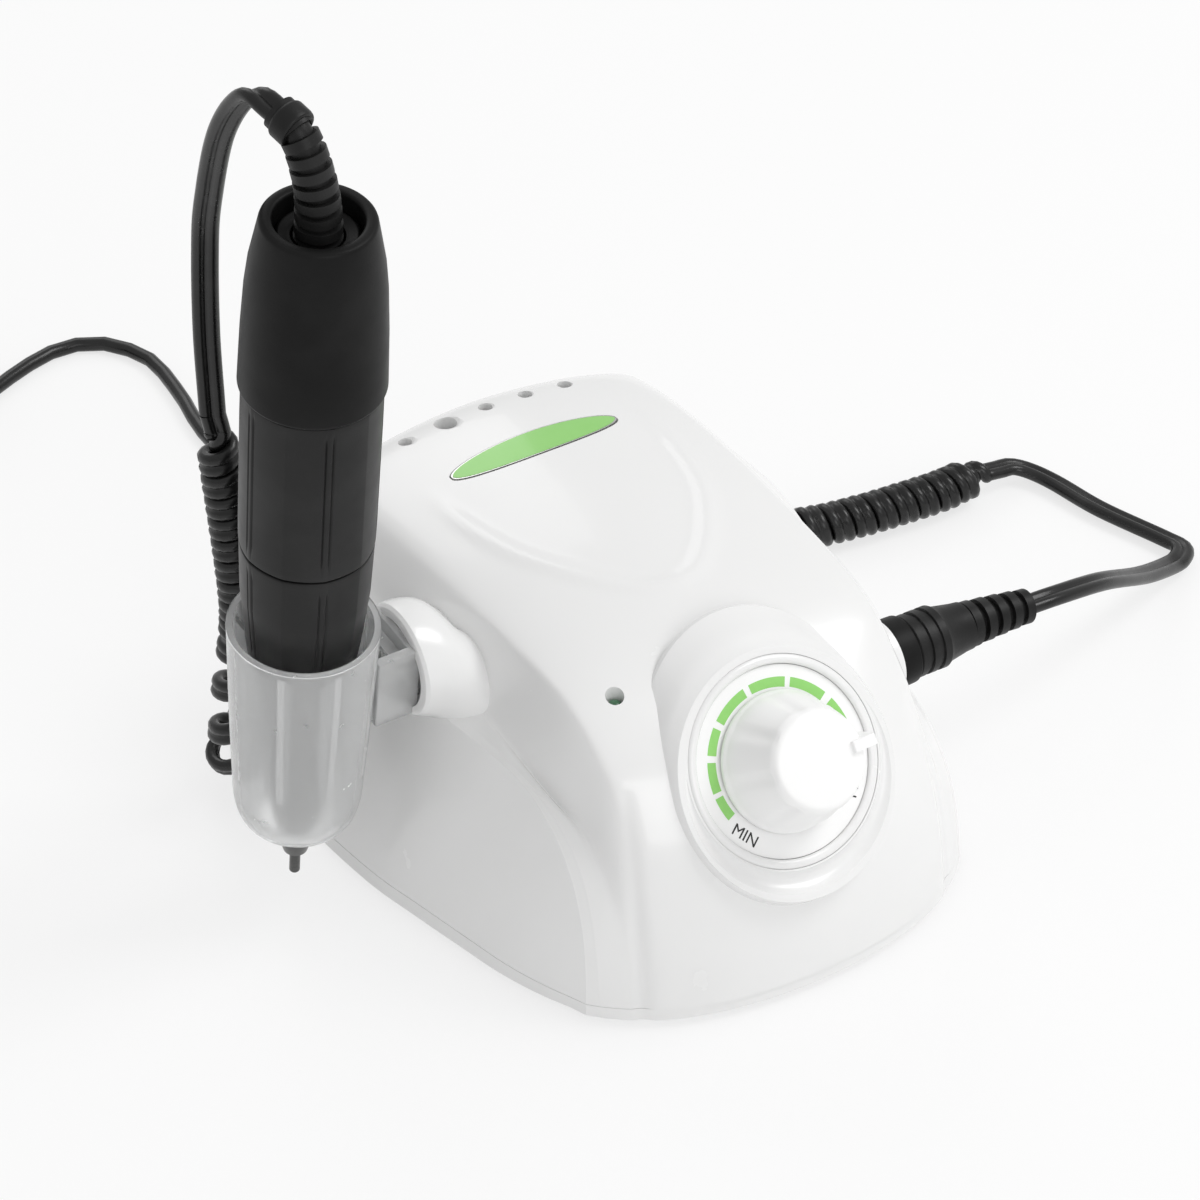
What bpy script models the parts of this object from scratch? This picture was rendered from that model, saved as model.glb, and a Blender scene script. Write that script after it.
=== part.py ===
# Dental laboratory micromotor: control box, motor handpiece in its stand, curly lead and mains lead.
# Metres, +Z up. X runs across the control box, -Y is the front with the speed dial.
import bpy
import bmesh
from math import sin, cos, pi, radians, ceil, atan2
from mathutils import Vector, Matrix

for old in list(bpy.data.objects):
    bpy.data.objects.remove(old, do_unlink=True)

# Clearances and cuts
GAP = 0.0003
OVERRUN = 0.004
FAR = 0.150
TURNED_SEGMENTS = 24
SMALL_SEGMENTS = 8
WELD = 0.00002

# Control box
BODY_WIDTH = 0.133
BODY_DEPTH = 0.145
BODY_HEIGHT = 0.072
FOOT_HEIGHT = 0.002
FOOT_RADIUS = 0.0060
FOOT_X = BODY_WIDTH * 0.34586
FOOT_FRONT_Y = -BODY_DEPTH * 0.15172
FOOT_REAR_Y = BODY_DEPTH * 0.34483
WALL = 0.0024
TRAY_RIM = 0.0027
FRAME_SHIFT_X = 0.0147
FRAME_SHIFT_Y = -0.0002
SCREW_X = BODY_WIDTH * 0.34737
SCREW_FRONT_Y = -BODY_DEPTH * 0.24138
SCREW_REAR_Y = BODY_DEPTH * 0.2069
SCREW_RADIUS = 0.0012
SCREW_HEAD_RADIUS = 0.0030
SCREW_HEAD_HEIGHT = 0.0012
SCREW_LENGTH = 0.0120
POST_RADIUS = 0.0036

# Speed dial on the front slope
DIAL_Y = -BODY_DEPTH * 0.37931
DIAL_Z = FOOT_HEIGHT + BODY_HEIGHT * 0.65972
DIAL_RISE = atan2(BODY_DEPTH * 0.33493, BODY_HEIGHT)
DIAL_RADIUS = 0.0203
DIAL_THICKNESS = 0.0012
BEZEL_WIDTH = 0.0021
BEZEL_HEIGHT = 0.0030
PEDESTAL_RADIUS = 0.0240
PEDESTAL_HEIGHT = 0.0006
BLOCK_RADIUS = 0.0255
BLOCK_THICKNESS = 0.0030
KNOB_RADIUS = 0.0150
KNOB_FACE_RADIUS = 0.0122
KNOB_HEIGHT = 0.0165
KNOB_WALL = 0.0020
KNOB_FLUTES = 8
KNOB_FLUTE_DEPTH = 0.0006
POINTER_REACH = 0.0172
POINTER_WIDTH = 0.0032
POINTER_DEG = -13.0
SHAFT_RADIUS = 0.0030
SHAFT_RISE = 0.0112
BUSH_RADIUS = 0.0045
POT_RADIUS = 0.0120
POT_DEPTH = 0.0110

# Bur holes, lamp and blank plate on the dome
BUR_HOLE_RADIUS = 0.0016
SHANK_HOLE_RADIUS = 0.0026
BUR_HOLE_PITCH = 0.0103
BUR_HOLE_Y = BODY_DEPTH * 0.41241
BUR_HOLE_DEPTH = 0.012
BUR_CHAMFER = 0.0008
BUR_BLOCK_DEPTH = 0.0092
LAMP_X = -BODY_WIDTH * 0.19699
LAMP_Y = -BODY_DEPTH * 0.22069
LAMP_RADIUS = 0.0017
LAMP_SINK = 0.0012
LAMP_LENGTH = 0.0070
PLATE_Y = BODY_DEPTH * 0.28621
PLATE_LENGTH = 0.0420
PLATE_WIDTH = 0.0086
PLATE_THICKNESS = 0.0010
PLATE_PROUD = 0.0002

# Stand on the left wall
EAR_Y = BODY_DEPTH * 0.05517
EAR_Z = FOOT_HEIGHT + BODY_HEIGHT * 0.78472
EAR_RADIUS = 0.0126
EAR_REACH = BODY_WIDTH * 0.40602
EAR_ROOT = BODY_WIDTH * 0.27068
POCKET_RADIUS = 0.0101
POCKET_DEPTH = 0.0076
EAR_FLOOR = 0.0030
HUB_RADIUS = 0.0098
HOLDER_OUT = 0.0245
HOLDER_X = -EAR_REACH - HOLDER_OUT
LEAN_DEG = 7.8
RIM_RISE = 0.0208
CUP_RADIUS = 0.0160
CUP_LENGTH = 0.0540
CUP_WALL = 0.0014
CUP_RIBS = 8
CUP_RIB_THICKNESS = 0.0012
CUP_RIB_RADIUS = 0.0094
CUP_REST = -0.0084
BRACKET_WIDTH = 0.0150
BRACKET_HEIGHT = 0.0180
BRACKET_WALL = 0.0022
PIVOT_RADIUS = 0.0020
PIVOT_HEAD_RADIUS = 0.0038
PIVOT_HEAD = 0.0020

# Handpiece, measured along its own axis from the rim of the cup
CAP_TOP = 0.1070
CAP_SHOULDER = 0.0965
CAP_BOTTOM = 0.0657
SLEEVE_SEAM = 0.0215
SLEEVE_END = -0.0080
NOSE_SHOULDER = -0.0400
NOSE_CAP_TOP = -0.0560
NOSE_TIP = -0.0660
SHANK_TIP = -0.0728
CAP_TOP_RADIUS = 0.01145
CAP_SHOULDER_RADIUS = 0.0134
CAP_RADIUS = 0.0149
CAP_OPENING_RADIUS = 0.0089
CAP_BORE_RADIUS = 0.0126
CAP_NECK_RADIUS = 0.0112
DISC_TOP = 0.1036
DISC_BOTTOM = 0.0953
MOTOR_RADIUS = 0.0142
MOTOR_FRONT_RADIUS = 0.0138
MOTOR_BORE_RADIUS = 0.0116
MOTOR_GROOVES = 5
GROOVE_TURN_DEG = -33.0
MOTOR_GROOVE_DEPTH = 0.0006
SPIGOT_TOP = 0.0750
CHUCK_RADIUS = 0.0137
CHUCK_END_RADIUS = 0.0110
CHUCK_BORE_RADIUS = 0.0092
NOSE_RADIUS = 0.0076
NOSE_CAP_RADIUS = 0.0046
NOSE_TIP_RADIUS = 0.0026
BEARING_WIDTH = 0.0040
BEARING_RADIUS = 0.0065
REAR_BEARING_Z = 0.0615
FRONT_BEARING_Z = 0.0140
MAGNET_RADIUS = 0.0082
MAGNET_LOW = 0.0250
MAGNET_HIGH = 0.0600
ROTOR_RADIUS = 0.0074
COMMUTATOR_RADIUS = 0.0052
BRUSH_RADIUS = 0.0060
BRUSH_LOW = 0.0670
BRUSH_HIGH = 0.0730
COLLET_RADIUS = 0.0031
SHANK_RADIUS = 0.001175
SHANK_HOLD = 0.0250
BOOT_RADIUS = 0.0050
BOOT_END_RADIUS = 0.0036
BOOT_RIBS = 6

# Leads
LEAD_RADIUS = 0.0020
CURL_TUBE_RADIUS = 0.0020
CURL_RADIUS = 0.0052
CURL_PITCH = 0.0056
CURL_OPEN_PITCH = 0.0160
CURL_POINTS = 8
CURL_RUN_OUT = 0.0090
MAINS_RADIUS = 0.0018
COIL_RADIUS = 0.0210
COIL_PITCH = 0.0047
COIL_STEP = 0.0048
COIL_TURNS = 3
COIL_POINTS = 24
COIL_X = -BODY_DEPTH * 0.53793
COIL_Y = BODY_DEPTH * 1.57931
PLUG_RADIUS = 0.00725
PLUG_NOSE_RADIUS = 0.0047
SOCKET_RADIUS = 0.0063
SOCKET_FLANGE_RADIUS = 0.0080
SOCKET_BOSS_RADIUS = 0.0086
SOCKET_BACK = BODY_WIDTH * 0.30827
SOCKET_FACE = BODY_WIDTH * 0.4105
SOCKET_Y = -BODY_DEPTH * 0.13793
SOCKET_Z = FOOT_HEIGHT + BODY_HEIGHT * 0.43611
MAINS_PLUG_RADIUS = 0.0125
MAINS_PLUG_LENGTH = 0.0300
PIN_RADIUS = 0.0020
PIN_LENGTH = 0.0180
PIN_SPACING = 0.0190

# Rear panel
REAR_Y = BODY_DEPTH * 0.45931
REAR_THICKNESS = 0.0018
SWITCH_WIDTH = 0.0150
SWITCH_HEIGHT = 0.0205
SWITCH_DEPTH = 0.0110
SWITCH_Z = FOOT_HEIGHT + BODY_HEIGHT * 0.5
FLANGE_THICKNESS = 0.0014
FLANGE_EDGE = 0.0018
ROCKER_REST_DEG = 9.0
POWER_X = -BODY_WIDTH * 0.19549
DIRECTION_X = -BODY_WIDTH * 0.02256
SELECTOR_X = BODY_WIDTH * 0.15789
SELECTOR_WIDTH = 0.0180
SELECTOR_HEIGHT = 0.0100
SELECTOR_TRAVEL = 0.0060
SLIDE_SIZE = 0.0036
LOW_ROW_Z = FOOT_HEIGHT + BODY_HEIGHT * 0.19444
GLAND_X = -BODY_WIDTH * 0.10526
JACK_X = BODY_WIDTH * 0.05263
FUSE_X = BODY_WIDTH * 0.20301
JACK_RADIUS = 0.0060
JACK_BORE_RADIUS = 0.0033
FUSE_RADIUS = 0.0060
FUSE_LENGTH = 0.0240
FUSE_CAP_HEIGHT = 0.0050
GLAND_RADIUS = 0.0042
GLAND_LENGTH = 0.0090

# Inside the box
BOARD_WIDTH = BODY_WIDTH * 0.51128
BOARD_DEPTH = BODY_DEPTH * 0.34483
BOARD_THICKNESS = 0.0016
BOARD_Y = -BODY_DEPTH * 0.13793
BOARD_Z = 0.0100
STANDOFF_RADIUS = 0.0026
CORE_WIDTH = 0.0460
CORE_DEPTH = 0.0180
CORE_HEIGHT = 0.0380
CORE_LEG = 0.0140
CORE_YOKE = 0.0060
CORE_Y = BODY_DEPTH * 0.2069
WINDING_DEPTH = 0.0320
SINK_WIDTH = 0.0280
SINK_DEPTH = 0.0180
SINK_HEIGHT = 0.0160
SINK_FINS = 5


def surface(name, color, roughness, metallic=0.0):
    mat = bpy.data.materials.new(name)
    mat.use_nodes = True
    shader = mat.node_tree.nodes["Principled BSDF"]
    shader.inputs["Base Color"].default_value = (*color, 1.0)
    shader.inputs["Roughness"].default_value = roughness
    shader.inputs["Metallic"].default_value = metallic
    return mat


def paint(name):
    looks = {
        "white": ((0.90, 0.90, 0.89), 0.28, 0.0),
        "black": ((0.02, 0.02, 0.02), 0.45, 0.0),
        "rubber": ((0.03, 0.03, 0.03), 0.75, 0.0),
        "cloudy": ((0.82, 0.83, 0.82), 0.40, 0.0),
        "green": ((0.27, 0.60, 0.16), 0.35, 0.0),
        "board": ((0.05, 0.22, 0.10), 0.50, 0.0),
        "steel": ((0.62, 0.62, 0.60), 0.30, 1.0),
        "copper": ((0.70, 0.34, 0.18), 0.40, 1.0),
        "alloy": ((0.75, 0.76, 0.76), 0.40, 1.0),
    }
    color, roughness, metallic = looks[name]
    return color, roughness, metallic


def place(name, mesh, look, parent, location=(0, 0, 0), rotation=(0, 0, 0)):
    body = bpy.data.objects.new(name, mesh)
    bpy.context.collection.objects.link(body)
    body.data.materials.clear()
    body.data.materials.append(surface(name, *paint(look)))
    body.parent = parent
    body.location = location
    body.rotation_euler = rotation
    return body


def empty(name, parent, location=(0, 0, 0), rotation=(0, 0, 0)):
    point = bpy.data.objects.new(name, None)
    bpy.context.collection.objects.link(point)
    point.parent = parent
    point.location = location
    point.rotation_euler = rotation
    return point


def finish_mesh(bm, name, smooth_angle=35.0):
    bmesh.ops.recalc_face_normals(bm, faces=bm.faces)
    mesh = bpy.data.meshes.new(name)
    bm.to_mesh(mesh)
    bm.free()
    mesh.shade_smooth()
    mesh.set_sharp_from_angle(angle=radians(smooth_angle))
    return mesh


def turned(name, profile, segments=TURNED_SEGMENTS, flutes=0, depth=0.0):
    """A closed profile of (radius, height) points spun round Z; a third value is a point's flute share."""
    bm = bmesh.new()
    rings = []
    for radius, height, *share in profile:
        if radius <= 0.0:
            rings.append([bm.verts.new((0.0, 0.0, height))])
            continue
        ring_verts = []
        for k in range(segments):
            turn = 2 * pi * k / segments
            cut = depth * share[0] * max(0.0, cos(flutes * turn)) ** 2 if share else 0.0
            ring_verts.append(bm.verts.new(((radius - cut) * cos(turn), (radius - cut) * sin(turn), height)))
        rings.append(ring_verts)
    pairs = list(zip(rings, rings[1:]))
    if len(rings[0]) > 1:
        pairs.append((rings[-1], rings[0]))
    for low, high in pairs:
        for k in range(segments):
            n = (k + 1) % segments
            corners = [low[k % len(low)], low[n % len(low)], high[n % len(high)], high[k % len(high)]]
            corners = list(dict.fromkeys(corners))
            if len(corners) > 2:
                bm.faces.new(corners)
    return finish_mesh(bm, name)


def lofted(name, rings, closed_ends=True):
    """Rings of equal length, joined side by side, with both ends filled."""
    bm = bmesh.new()
    made = [[bm.verts.new(p) for p in ring] for ring in rings]
    count = len(made[0])
    for low, high in zip(made, made[1:]):
        for k in range(count):
            n = (k + 1) % count
            bm.faces.new([low[k], low[n], high[n], high[k]])
    if closed_ends:
        bm.faces.new(list(reversed(made[0])))
        bm.faces.new(made[-1])
    return finish_mesh(bm, name)


def prism(name, outline, low, high):
    return lofted(name, [[(x, y, z) for x, y in outline] for z in (low, high)])


def slab(name, size, center=(0, 0, 0), edge=0.0):
    bm = bmesh.new()
    bmesh.ops.create_cube(bm, size=1.0)
    for vert in bm.verts:
        vert.co = Vector([c + s * v for c, s, v in zip(center, size, vert.co)])
    if edge > 0.0:
        bmesh.ops.bevel(bm, geom=list(bm.edges), offset=edge, segments=1, affect="EDGES")
    return finish_mesh(bm, name)


def moved(mesh, matrix):
    mesh.transform(matrix)
    return mesh


ALONG_X = Matrix.Rotation(radians(90.0), 4, "Y")
ALONG_Y = Matrix.Rotation(radians(-90.0), 4, "X")


def cutter(name, mesh, parent=None, location=(0, 0, 0), rotation=(0, 0, 0)):
    body = bpy.data.objects.new(name, mesh)
    bpy.context.collection.objects.link(body)
    body.parent = parent
    body.location = location
    body.rotation_euler = rotation
    body.hide_render = True
    body.display_type = "WIRE"
    return body


def combine(body, other, operation="DIFFERENCE"):
    change = body.modifiers.new(operation.lower() + "_" + other.name, "BOOLEAN")
    change.operation = operation
    change.solver = "EXACT"
    change.object = other


def disc(name, radius, low, high, segments=SMALL_SEGMENTS):
    return turned(name, [(0.0, low), (radius, low), (radius, high), (0.0, high)], segments)


def ring(name, inner, outer, low, high, segments=TURNED_SEGMENTS):
    return turned(name, [(inner, low), (outer, low), (outer, high), (inner, high)], segments)


# The frame's empty puts the origin under the middle of the box round the rigid pieces.
frame = empty("micromotor_frame", None, (FRAME_SHIFT_X, FRAME_SHIFT_Y, 0.0))

# Moulded cover. Each column runs from the front edge over the top to the rear edge, and its points are
# shares of the half width, the depth (from the middle) and the height above the tray's underside.
crown_shares = [(0.0, -0.498, 0.0), (0.0, -0.487, 0.195), (0.0, -0.462, 0.403), (0.0, -0.417, 0.597),
                (0.0, -0.341, 0.771), (0.0, -0.207, 0.910), (0.0, 0.014, 0.986), (0.0, 0.248, 1.0),
                (0.0, 0.414, 0.972), (0.0, 0.479, 0.917), (0.0, 0.500, 0.840)]
flank_shares = [(0.301, -0.485, 0.0), (0.301, -0.473, 0.195), (0.301, -0.448, 0.403), (0.301, -0.404, 0.590),
                (0.301, -0.331, 0.764), (0.301, -0.204, 0.900), (0.301, 0.014, 0.969), (0.308, 0.248, 0.981),
                (0.308, 0.414, 0.950), (0.305, 0.477, 0.893), (0.301, 0.499, 0.815)]
crest_inner_shares = [(0.511, -0.452, 0.0), (0.514, -0.440, 0.195), (0.514, -0.415, 0.389),
                      (0.511, -0.376, 0.569), (0.505, -0.314, 0.740), (0.511, -0.201, 0.875),
                      (0.526, 0.014, 0.928), (0.541, 0.248, 0.936), (0.538, 0.414, 0.903),
                      (0.526, 0.474, 0.842), (0.511, 0.496, 0.760)]
crest_outer_shares = [(0.586, -0.429, 0.0), (0.586, -0.415, 0.195), (0.585, -0.392, 0.368),
                      (0.574, -0.356, 0.542), (0.567, -0.300, 0.701), (0.576, -0.197, 0.826),
                      (0.594, 0.014, 0.878), (0.617, 0.248, 0.886), (0.617, 0.410, 0.854),
                      (0.600, 0.469, 0.796), (0.579, 0.490, 0.715)]
foot_shares = [(0.617, -0.420, 0.0), (0.620, -0.404, 0.181), (0.617, -0.381, 0.340), (0.606, -0.341, 0.458),
               (0.598, -0.283, 0.528), (0.617, -0.193, 0.576), (0.647, 0.014, 0.722), (0.680, 0.235, 0.780),
               (0.672, 0.393, 0.750), (0.647, 0.455, 0.706), (0.617, 0.481, 0.650)]
fender_inner_shares = [(0.653, -0.407, 0.0), (0.665, -0.390, 0.174), (0.662, -0.366, 0.326),
                       (0.650, -0.328, 0.438), (0.647, -0.272, 0.511), (0.668, -0.186, 0.563),
                       (0.699, 0.014, 0.674), (0.744, 0.228, 0.735), (0.722, 0.379, 0.706),
                       (0.684, 0.441, 0.660), (0.641, 0.474, 0.606)]
fender_top_shares = [(0.683, -0.394, 0.0), (0.702, -0.377, 0.167), (0.701, -0.349, 0.313),
                     (0.692, -0.310, 0.428), (0.695, -0.257, 0.500), (0.716, -0.176, 0.558),
                     (0.752, 0.014, 0.647), (0.799, 0.221, 0.690), (0.767, 0.366, 0.657),
                     (0.722, 0.431, 0.613), (0.662, 0.470, 0.565)]
fender_edge_shares = [(0.713, -0.378, 0.0), (0.735, -0.359, 0.160), (0.737, -0.330, 0.299),
                      (0.731, -0.288, 0.406), (0.737, -0.234, 0.472), (0.761, -0.159, 0.525),
                      (0.803, 0.014, 0.597), (0.848, 0.214, 0.632), (0.812, 0.352, 0.600),
                      (0.758, 0.419, 0.561), (0.684, 0.466, 0.514)]
wall_shares = [(0.731, -0.363, 0.0), (0.761, -0.335, 0.097), (0.779, -0.297, 0.174), (0.791, -0.248, 0.236),
               (0.811, -0.190, 0.278), (0.842, -0.110, 0.306), (0.893, 0.028, 0.333), (0.924, 0.221, 0.347),
               (0.875, 0.338, 0.333), (0.797, 0.410, 0.313), (0.699, 0.464, 0.292)]
base_shares = [(0.749, -0.345, 0.0), (0.785, -0.310, 0.0), (0.821, -0.266, 0.0), (0.854, -0.214, 0.0),
               (0.887, -0.141, 0.0), (0.925, -0.055, 0.0), (0.970, 0.062, 0.0), (0.985, 0.228, 0.0),
               (0.925, 0.324, 0.0), (0.820, 0.403, 0.0), (0.707, 0.462, 0.0)]
column_shares = [crown_shares, flank_shares, crest_inner_shares, crest_outer_shares, foot_shares,
                 fender_inner_shares, fender_top_shares, fender_edge_shares, wall_shares, base_shares]


def smooth_point(points, t):
    """A point of the Catmull-Rom curve through points, at t counted in spans."""
    span = min(int(t), len(points) - 2)
    u = t - span
    p1, p2 = points[span], points[span + 1]
    p0 = points[span - 1] if span > 0 else p1 * 2 - p2
    p3 = points[span + 2] if span + 2 < len(points) else p2 * 2 - p1
    return ((p1 * 2) + (p2 - p0) * u + (p0 * 2 - p1 * 5 + p2 * 4 - p3) * u * u
            + (p1 * 3 - p0 - p2 * 3 + p3) * u * u * u) * 0.5


def body_columns():
    columns = []
    for shares in column_shares:
        columns.append([Vector((a * BODY_WIDTH / 2, b * BODY_DEPTH, FOOT_HEIGHT + c * BODY_HEIGHT))
                        for a, b, c in shares])
    mirrored = [[Vector((-p.x, p.y, p.z)) for p in column] for column in reversed(columns[1:])]
    return mirrored + columns


columns = body_columns()
LAST_COLUMN = len(columns) - 1
LAST_ROW = len(crown_shares) - 1
SURFACE_STEP = 0.02


def body_point(u, v):
    """Outer surface of the cover: u counts columns from left to right, v counts rows from the front."""
    return smooth_point([smooth_point(column, v) for column in columns], u)


def body_slopes(u, v):
    across = body_point(min(u + SURFACE_STEP, LAST_COLUMN), v) - body_point(max(u - SURFACE_STEP, 0.0), v)
    along = body_point(u, min(v + SURFACE_STEP, LAST_ROW)) - body_point(u, max(v - SURFACE_STEP, 0.0))
    return across, along


def dome_height(x, y):
    """Height of the cover's outer face over a place on the dome."""
    u = LAST_COLUMN / 2
    v = LAST_ROW / 2
    for _ in range(12):
        p = body_point(u, v)
        across, along = (slope / (2 * SURFACE_STEP) for slope in body_slopes(u, v))
        det = across.x * along.y - across.y * along.x
        miss_x = x - p.x
        miss_y = y - p.y
        u = min(max(u + (miss_x * along.y - miss_y * along.x) / det, 1.0), LAST_COLUMN - 1.0)
        v = min(max(v + (miss_y * across.x - miss_x * across.y) / det, 1.0), LAST_ROW - SURFACE_STEP)
    return body_point(u, v).z


def body_grid(u_steps, v_steps, inset=0.0):
    """Grid of points on the cover's outer face, or set in from it along the local normal."""
    grid = []
    for i in range(v_steps + 1):
        v = LAST_ROW * i / v_steps
        line = []
        for k in range(u_steps + 1):
            u = LAST_COLUMN * k / u_steps
            p = body_point(u, v)
            across, along = body_slopes(u, v)
            normal = across.cross(along)
            if i == v_steps:
                normal.y = 0.0
            if normal.length > 0.0:
                p = p - normal.normalized() * inset
            line.append(p)
        grid.append(line)
    return grid


def body_solid(name, u_steps, v_steps, inset=0.0, drop=0.0, back=0.0):
    """The cover's shape as a closed solid, straight down to the drop line and straight back behind."""
    grid = body_grid(u_steps, v_steps, inset)
    if back > 0.0:
        grid.append([Vector((p.x, p.y + back, p.z)) for p in grid[-1]])
    bm = bmesh.new()
    made = [[bm.verts.new(p) for p in line] for line in grid]
    for low, high in zip(made, made[1:]):
        for k in range(len(low) - 1):
            bm.faces.new([low[k], low[k + 1], high[k + 1], high[k]])
    chain = [line[0] for line in reversed(made)] + made[0][1:] + [line[-1] for line in made[1:]]
    rear = list(made[-1])
    foot = chain
    if drop > 0.0:
        foot = [bm.verts.new((v.co.x, v.co.y, FOOT_HEIGHT - drop)) for v in chain]
        for k in range(len(chain) - 1):
            bm.faces.new([chain[k], chain[k + 1], foot[k + 1], foot[k]])
        rear = rear + [foot[-1], foot[0]]
    bm.faces.new(foot)
    middle = Vector((0.0, 0.0, 0.0))
    for vert in rear:
        middle += vert.co / len(rear)
    hub = bm.verts.new(middle)
    for k in range(len(rear)):
        bm.faces.new([rear[k], rear[(k + 1) % len(rear)], hub])
    return finish_mesh(bm, name)


# Cover: a moulded shell, its cavity leaves posts and blocks standing for the pieces that it carries.
PARTING = FOOT_HEIGHT + TRAY_RIM
shell = place("upper_shell", body_solid("upper_shell", 32, 16), "white", frame)
cavity = cutter("cover_cavity", body_solid("cover_cavity", 24, 12, WALL, OVERRUN, FAR / 8), frame)
dial = empty("dial_frame", frame, (0.0, DIAL_Y, DIAL_Z), (radians(90.0) - DIAL_RISE, 0.0, 0.0))


def side_disc(name, radius, low, high, y, z, segments=TURNED_SEGMENTS):
    """A disc whose axis runs along X, from low to high, at (y, z)."""
    return moved(disc(name, radius, low, high, segments), Matrix.Translation((0.0, y, z)) @ ALONG_X)


def rear_disc(name, radius, low, high, x, z, segments=SMALL_SEGMENTS + 4):
    """A disc whose axis runs along Y, from low to high, at (x, z)."""
    return moved(disc(name, radius, low, high, segments), Matrix.Translation((x, 0.0, z)) @ ALONG_Y)


# The pedestal's rings: half width, half length, middle up the slope and height, as shares.
pedestal_shares = [(1.0, 1.0, 0.0, 1.0), (1.065, 1.115, 0.045, -4.0), (1.125, 1.29, 0.105, -15.0),
                   (1.0, 1.05, 0.105, -22.0)]
pedestal_rings = []
for wide, long, shift, rise in pedestal_shares:
    pedestal_rings.append([Vector((PEDESTAL_RADIUS * wide * cos(2 * pi * k / TURNED_SEGMENTS),
                                   PEDESTAL_RADIUS * (shift + long * sin(2 * pi * k / TURNED_SEGMENTS)),
                                   PEDESTAL_HEIGHT * rise)) for k in range(TURNED_SEGMENTS)])
combine(shell, cutter("dial_pedestal", lofted("dial_pedestal", pedestal_rings), dial), "UNION")
ear = side_disc("stand_ear", EAR_RADIUS, -EAR_REACH, -EAR_ROOT, EAR_Y, EAR_Z)
combine(shell, cutter("stand_ear", ear, frame), "UNION")
boss = side_disc("socket_boss", SOCKET_BOSS_RADIUS, SOCKET_BACK, SOCKET_FACE + GAP, SOCKET_Y, SOCKET_Z)
combine(shell, cutter("socket_boss", boss, frame), "UNION")

SEAT = DIAL_THICKNESS + GAP
block = disc("dial_block", BLOCK_RADIUS, -SEAT - BLOCK_THICKNESS, FAR / 8, TURNED_SEGMENTS)
combine(cavity, cutter("dial_block", block, dial))
ear_block = side_disc("ear_block", EAR_RADIUS + GAP, -EAR_REACH - OVERRUN,
                      POCKET_DEPTH + EAR_FLOOR - EAR_REACH, EAR_Y, EAR_Z)
combine(cavity, cutter("ear_block", ear_block, frame))
socket_block = side_disc("socket_block", SOCKET_BOSS_RADIUS + GAP, SOCKET_FACE - 2 * WALL,
                         SOCKET_FACE + OVERRUN, SOCKET_Y, SOCKET_Z)
combine(cavity, cutter("socket_block", socket_block, frame))
BUR_Z = dome_height(0.0, BUR_HOLE_Y)
bur_size = (BUR_HOLE_PITCH * 5, BUR_BLOCK_DEPTH, BUR_HOLE_DEPTH * 2)
bur_block = slab("bur_block", bur_size, (0.0, BUR_HOLE_Y, BUR_Z - BUR_HOLE_DEPTH / 4))
combine(cavity, cutter("bur_block", bur_block, frame))
LAMP_Z = dome_height(LAMP_X, LAMP_Y)
lamp_block = disc("lamp_block", LAMP_RADIUS * 2, -LAMP_LENGTH, OVERRUN)
combine(cavity, cutter("lamp_block", lamp_block, frame, (LAMP_X, LAMP_Y, LAMP_Z)))
for side in (-1, 1):
    for y in (SCREW_FRONT_Y, SCREW_REAR_Y):
        post = disc("screw_post", POST_RADIUS, -OVERRUN, FAR / 2)
        combine(cavity, cutter("screw_post", post, frame, (side * SCREW_X, y, 0.0)))

combine(shell, cavity)
below = slab("below_parting", (FAR * 2, FAR * 2, FAR), (0.0, 0.0, PARTING + GAP - FAR / 2))
combine(shell, cutter("below_parting", below, frame))
seat = disc("dial_seat", DIAL_RADIUS + BEZEL_WIDTH + 2 * GAP, -SEAT, FAR / 8, TURNED_SEGMENTS)
combine(shell, cutter("dial_seat", seat, dial))
bush_hole = disc("bush_hole", BUSH_RADIUS + GAP, -FAR / 8, 0.0, SMALL_SEGMENTS + 8)
combine(shell, cutter("bush_hole", bush_hole, dial))
pocket = side_disc("stand_pocket", POCKET_RADIUS, -EAR_REACH - OVERRUN, POCKET_DEPTH - EAR_REACH,
                   EAR_Y, EAR_Z)
combine(shell, cutter("stand_pocket", pocket, frame))
pivot_hole = side_disc("pivot_hole", PIVOT_RADIUS + GAP, -EAR_REACH, -EAR_ROOT, EAR_Y, EAR_Z, SMALL_SEGMENTS)
combine(shell, cutter("pivot_hole", pivot_hole, frame))
socket_way = [(0.0, SOCKET_BACK), (SOCKET_RADIUS + GAP, SOCKET_BACK), (SOCKET_RADIUS + GAP, SOCKET_FACE),
              (SOCKET_FLANGE_RADIUS + GAP, SOCKET_FACE),
              (SOCKET_FLANGE_RADIUS + GAP, SOCKET_FACE + 2 * OVERRUN),
              (0.0, SOCKET_FACE + 2 * OVERRUN)]
socket_hole = moved(turned("socket_hole", socket_way), ALONG_X)
combine(shell, cutter("socket_hole", socket_hole, frame, (0.0, SOCKET_Y, SOCKET_Z)))
lamp_hole = disc("lamp_hole", LAMP_RADIUS + GAP, -FAR / 8, FAR / 8)
combine(shell, cutter("lamp_hole", lamp_hole, frame, (LAMP_X, LAMP_Y, LAMP_Z)))
for place_along in range(-2, 3):
    radius = SHANK_HOLE_RADIUS if place_along == -1 else BUR_HOLE_RADIUS
    x = place_along * BUR_HOLE_PITCH
    profile = [(0.0, -BUR_HOLE_DEPTH), (radius, -BUR_HOLE_DEPTH), (radius, -BUR_CHAMFER),
               (radius + 2 * BUR_CHAMFER, BUR_CHAMFER), (radius + 2 * BUR_CHAMFER, OVERRUN), (0.0, OVERRUN)]
    hole = turned("bur_hole", profile, SMALL_SEGMENTS)
    combine(shell, cutter("bur_hole", hole, frame, (x, BUR_HOLE_Y, dome_height(x, BUR_HOLE_Y))))
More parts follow.
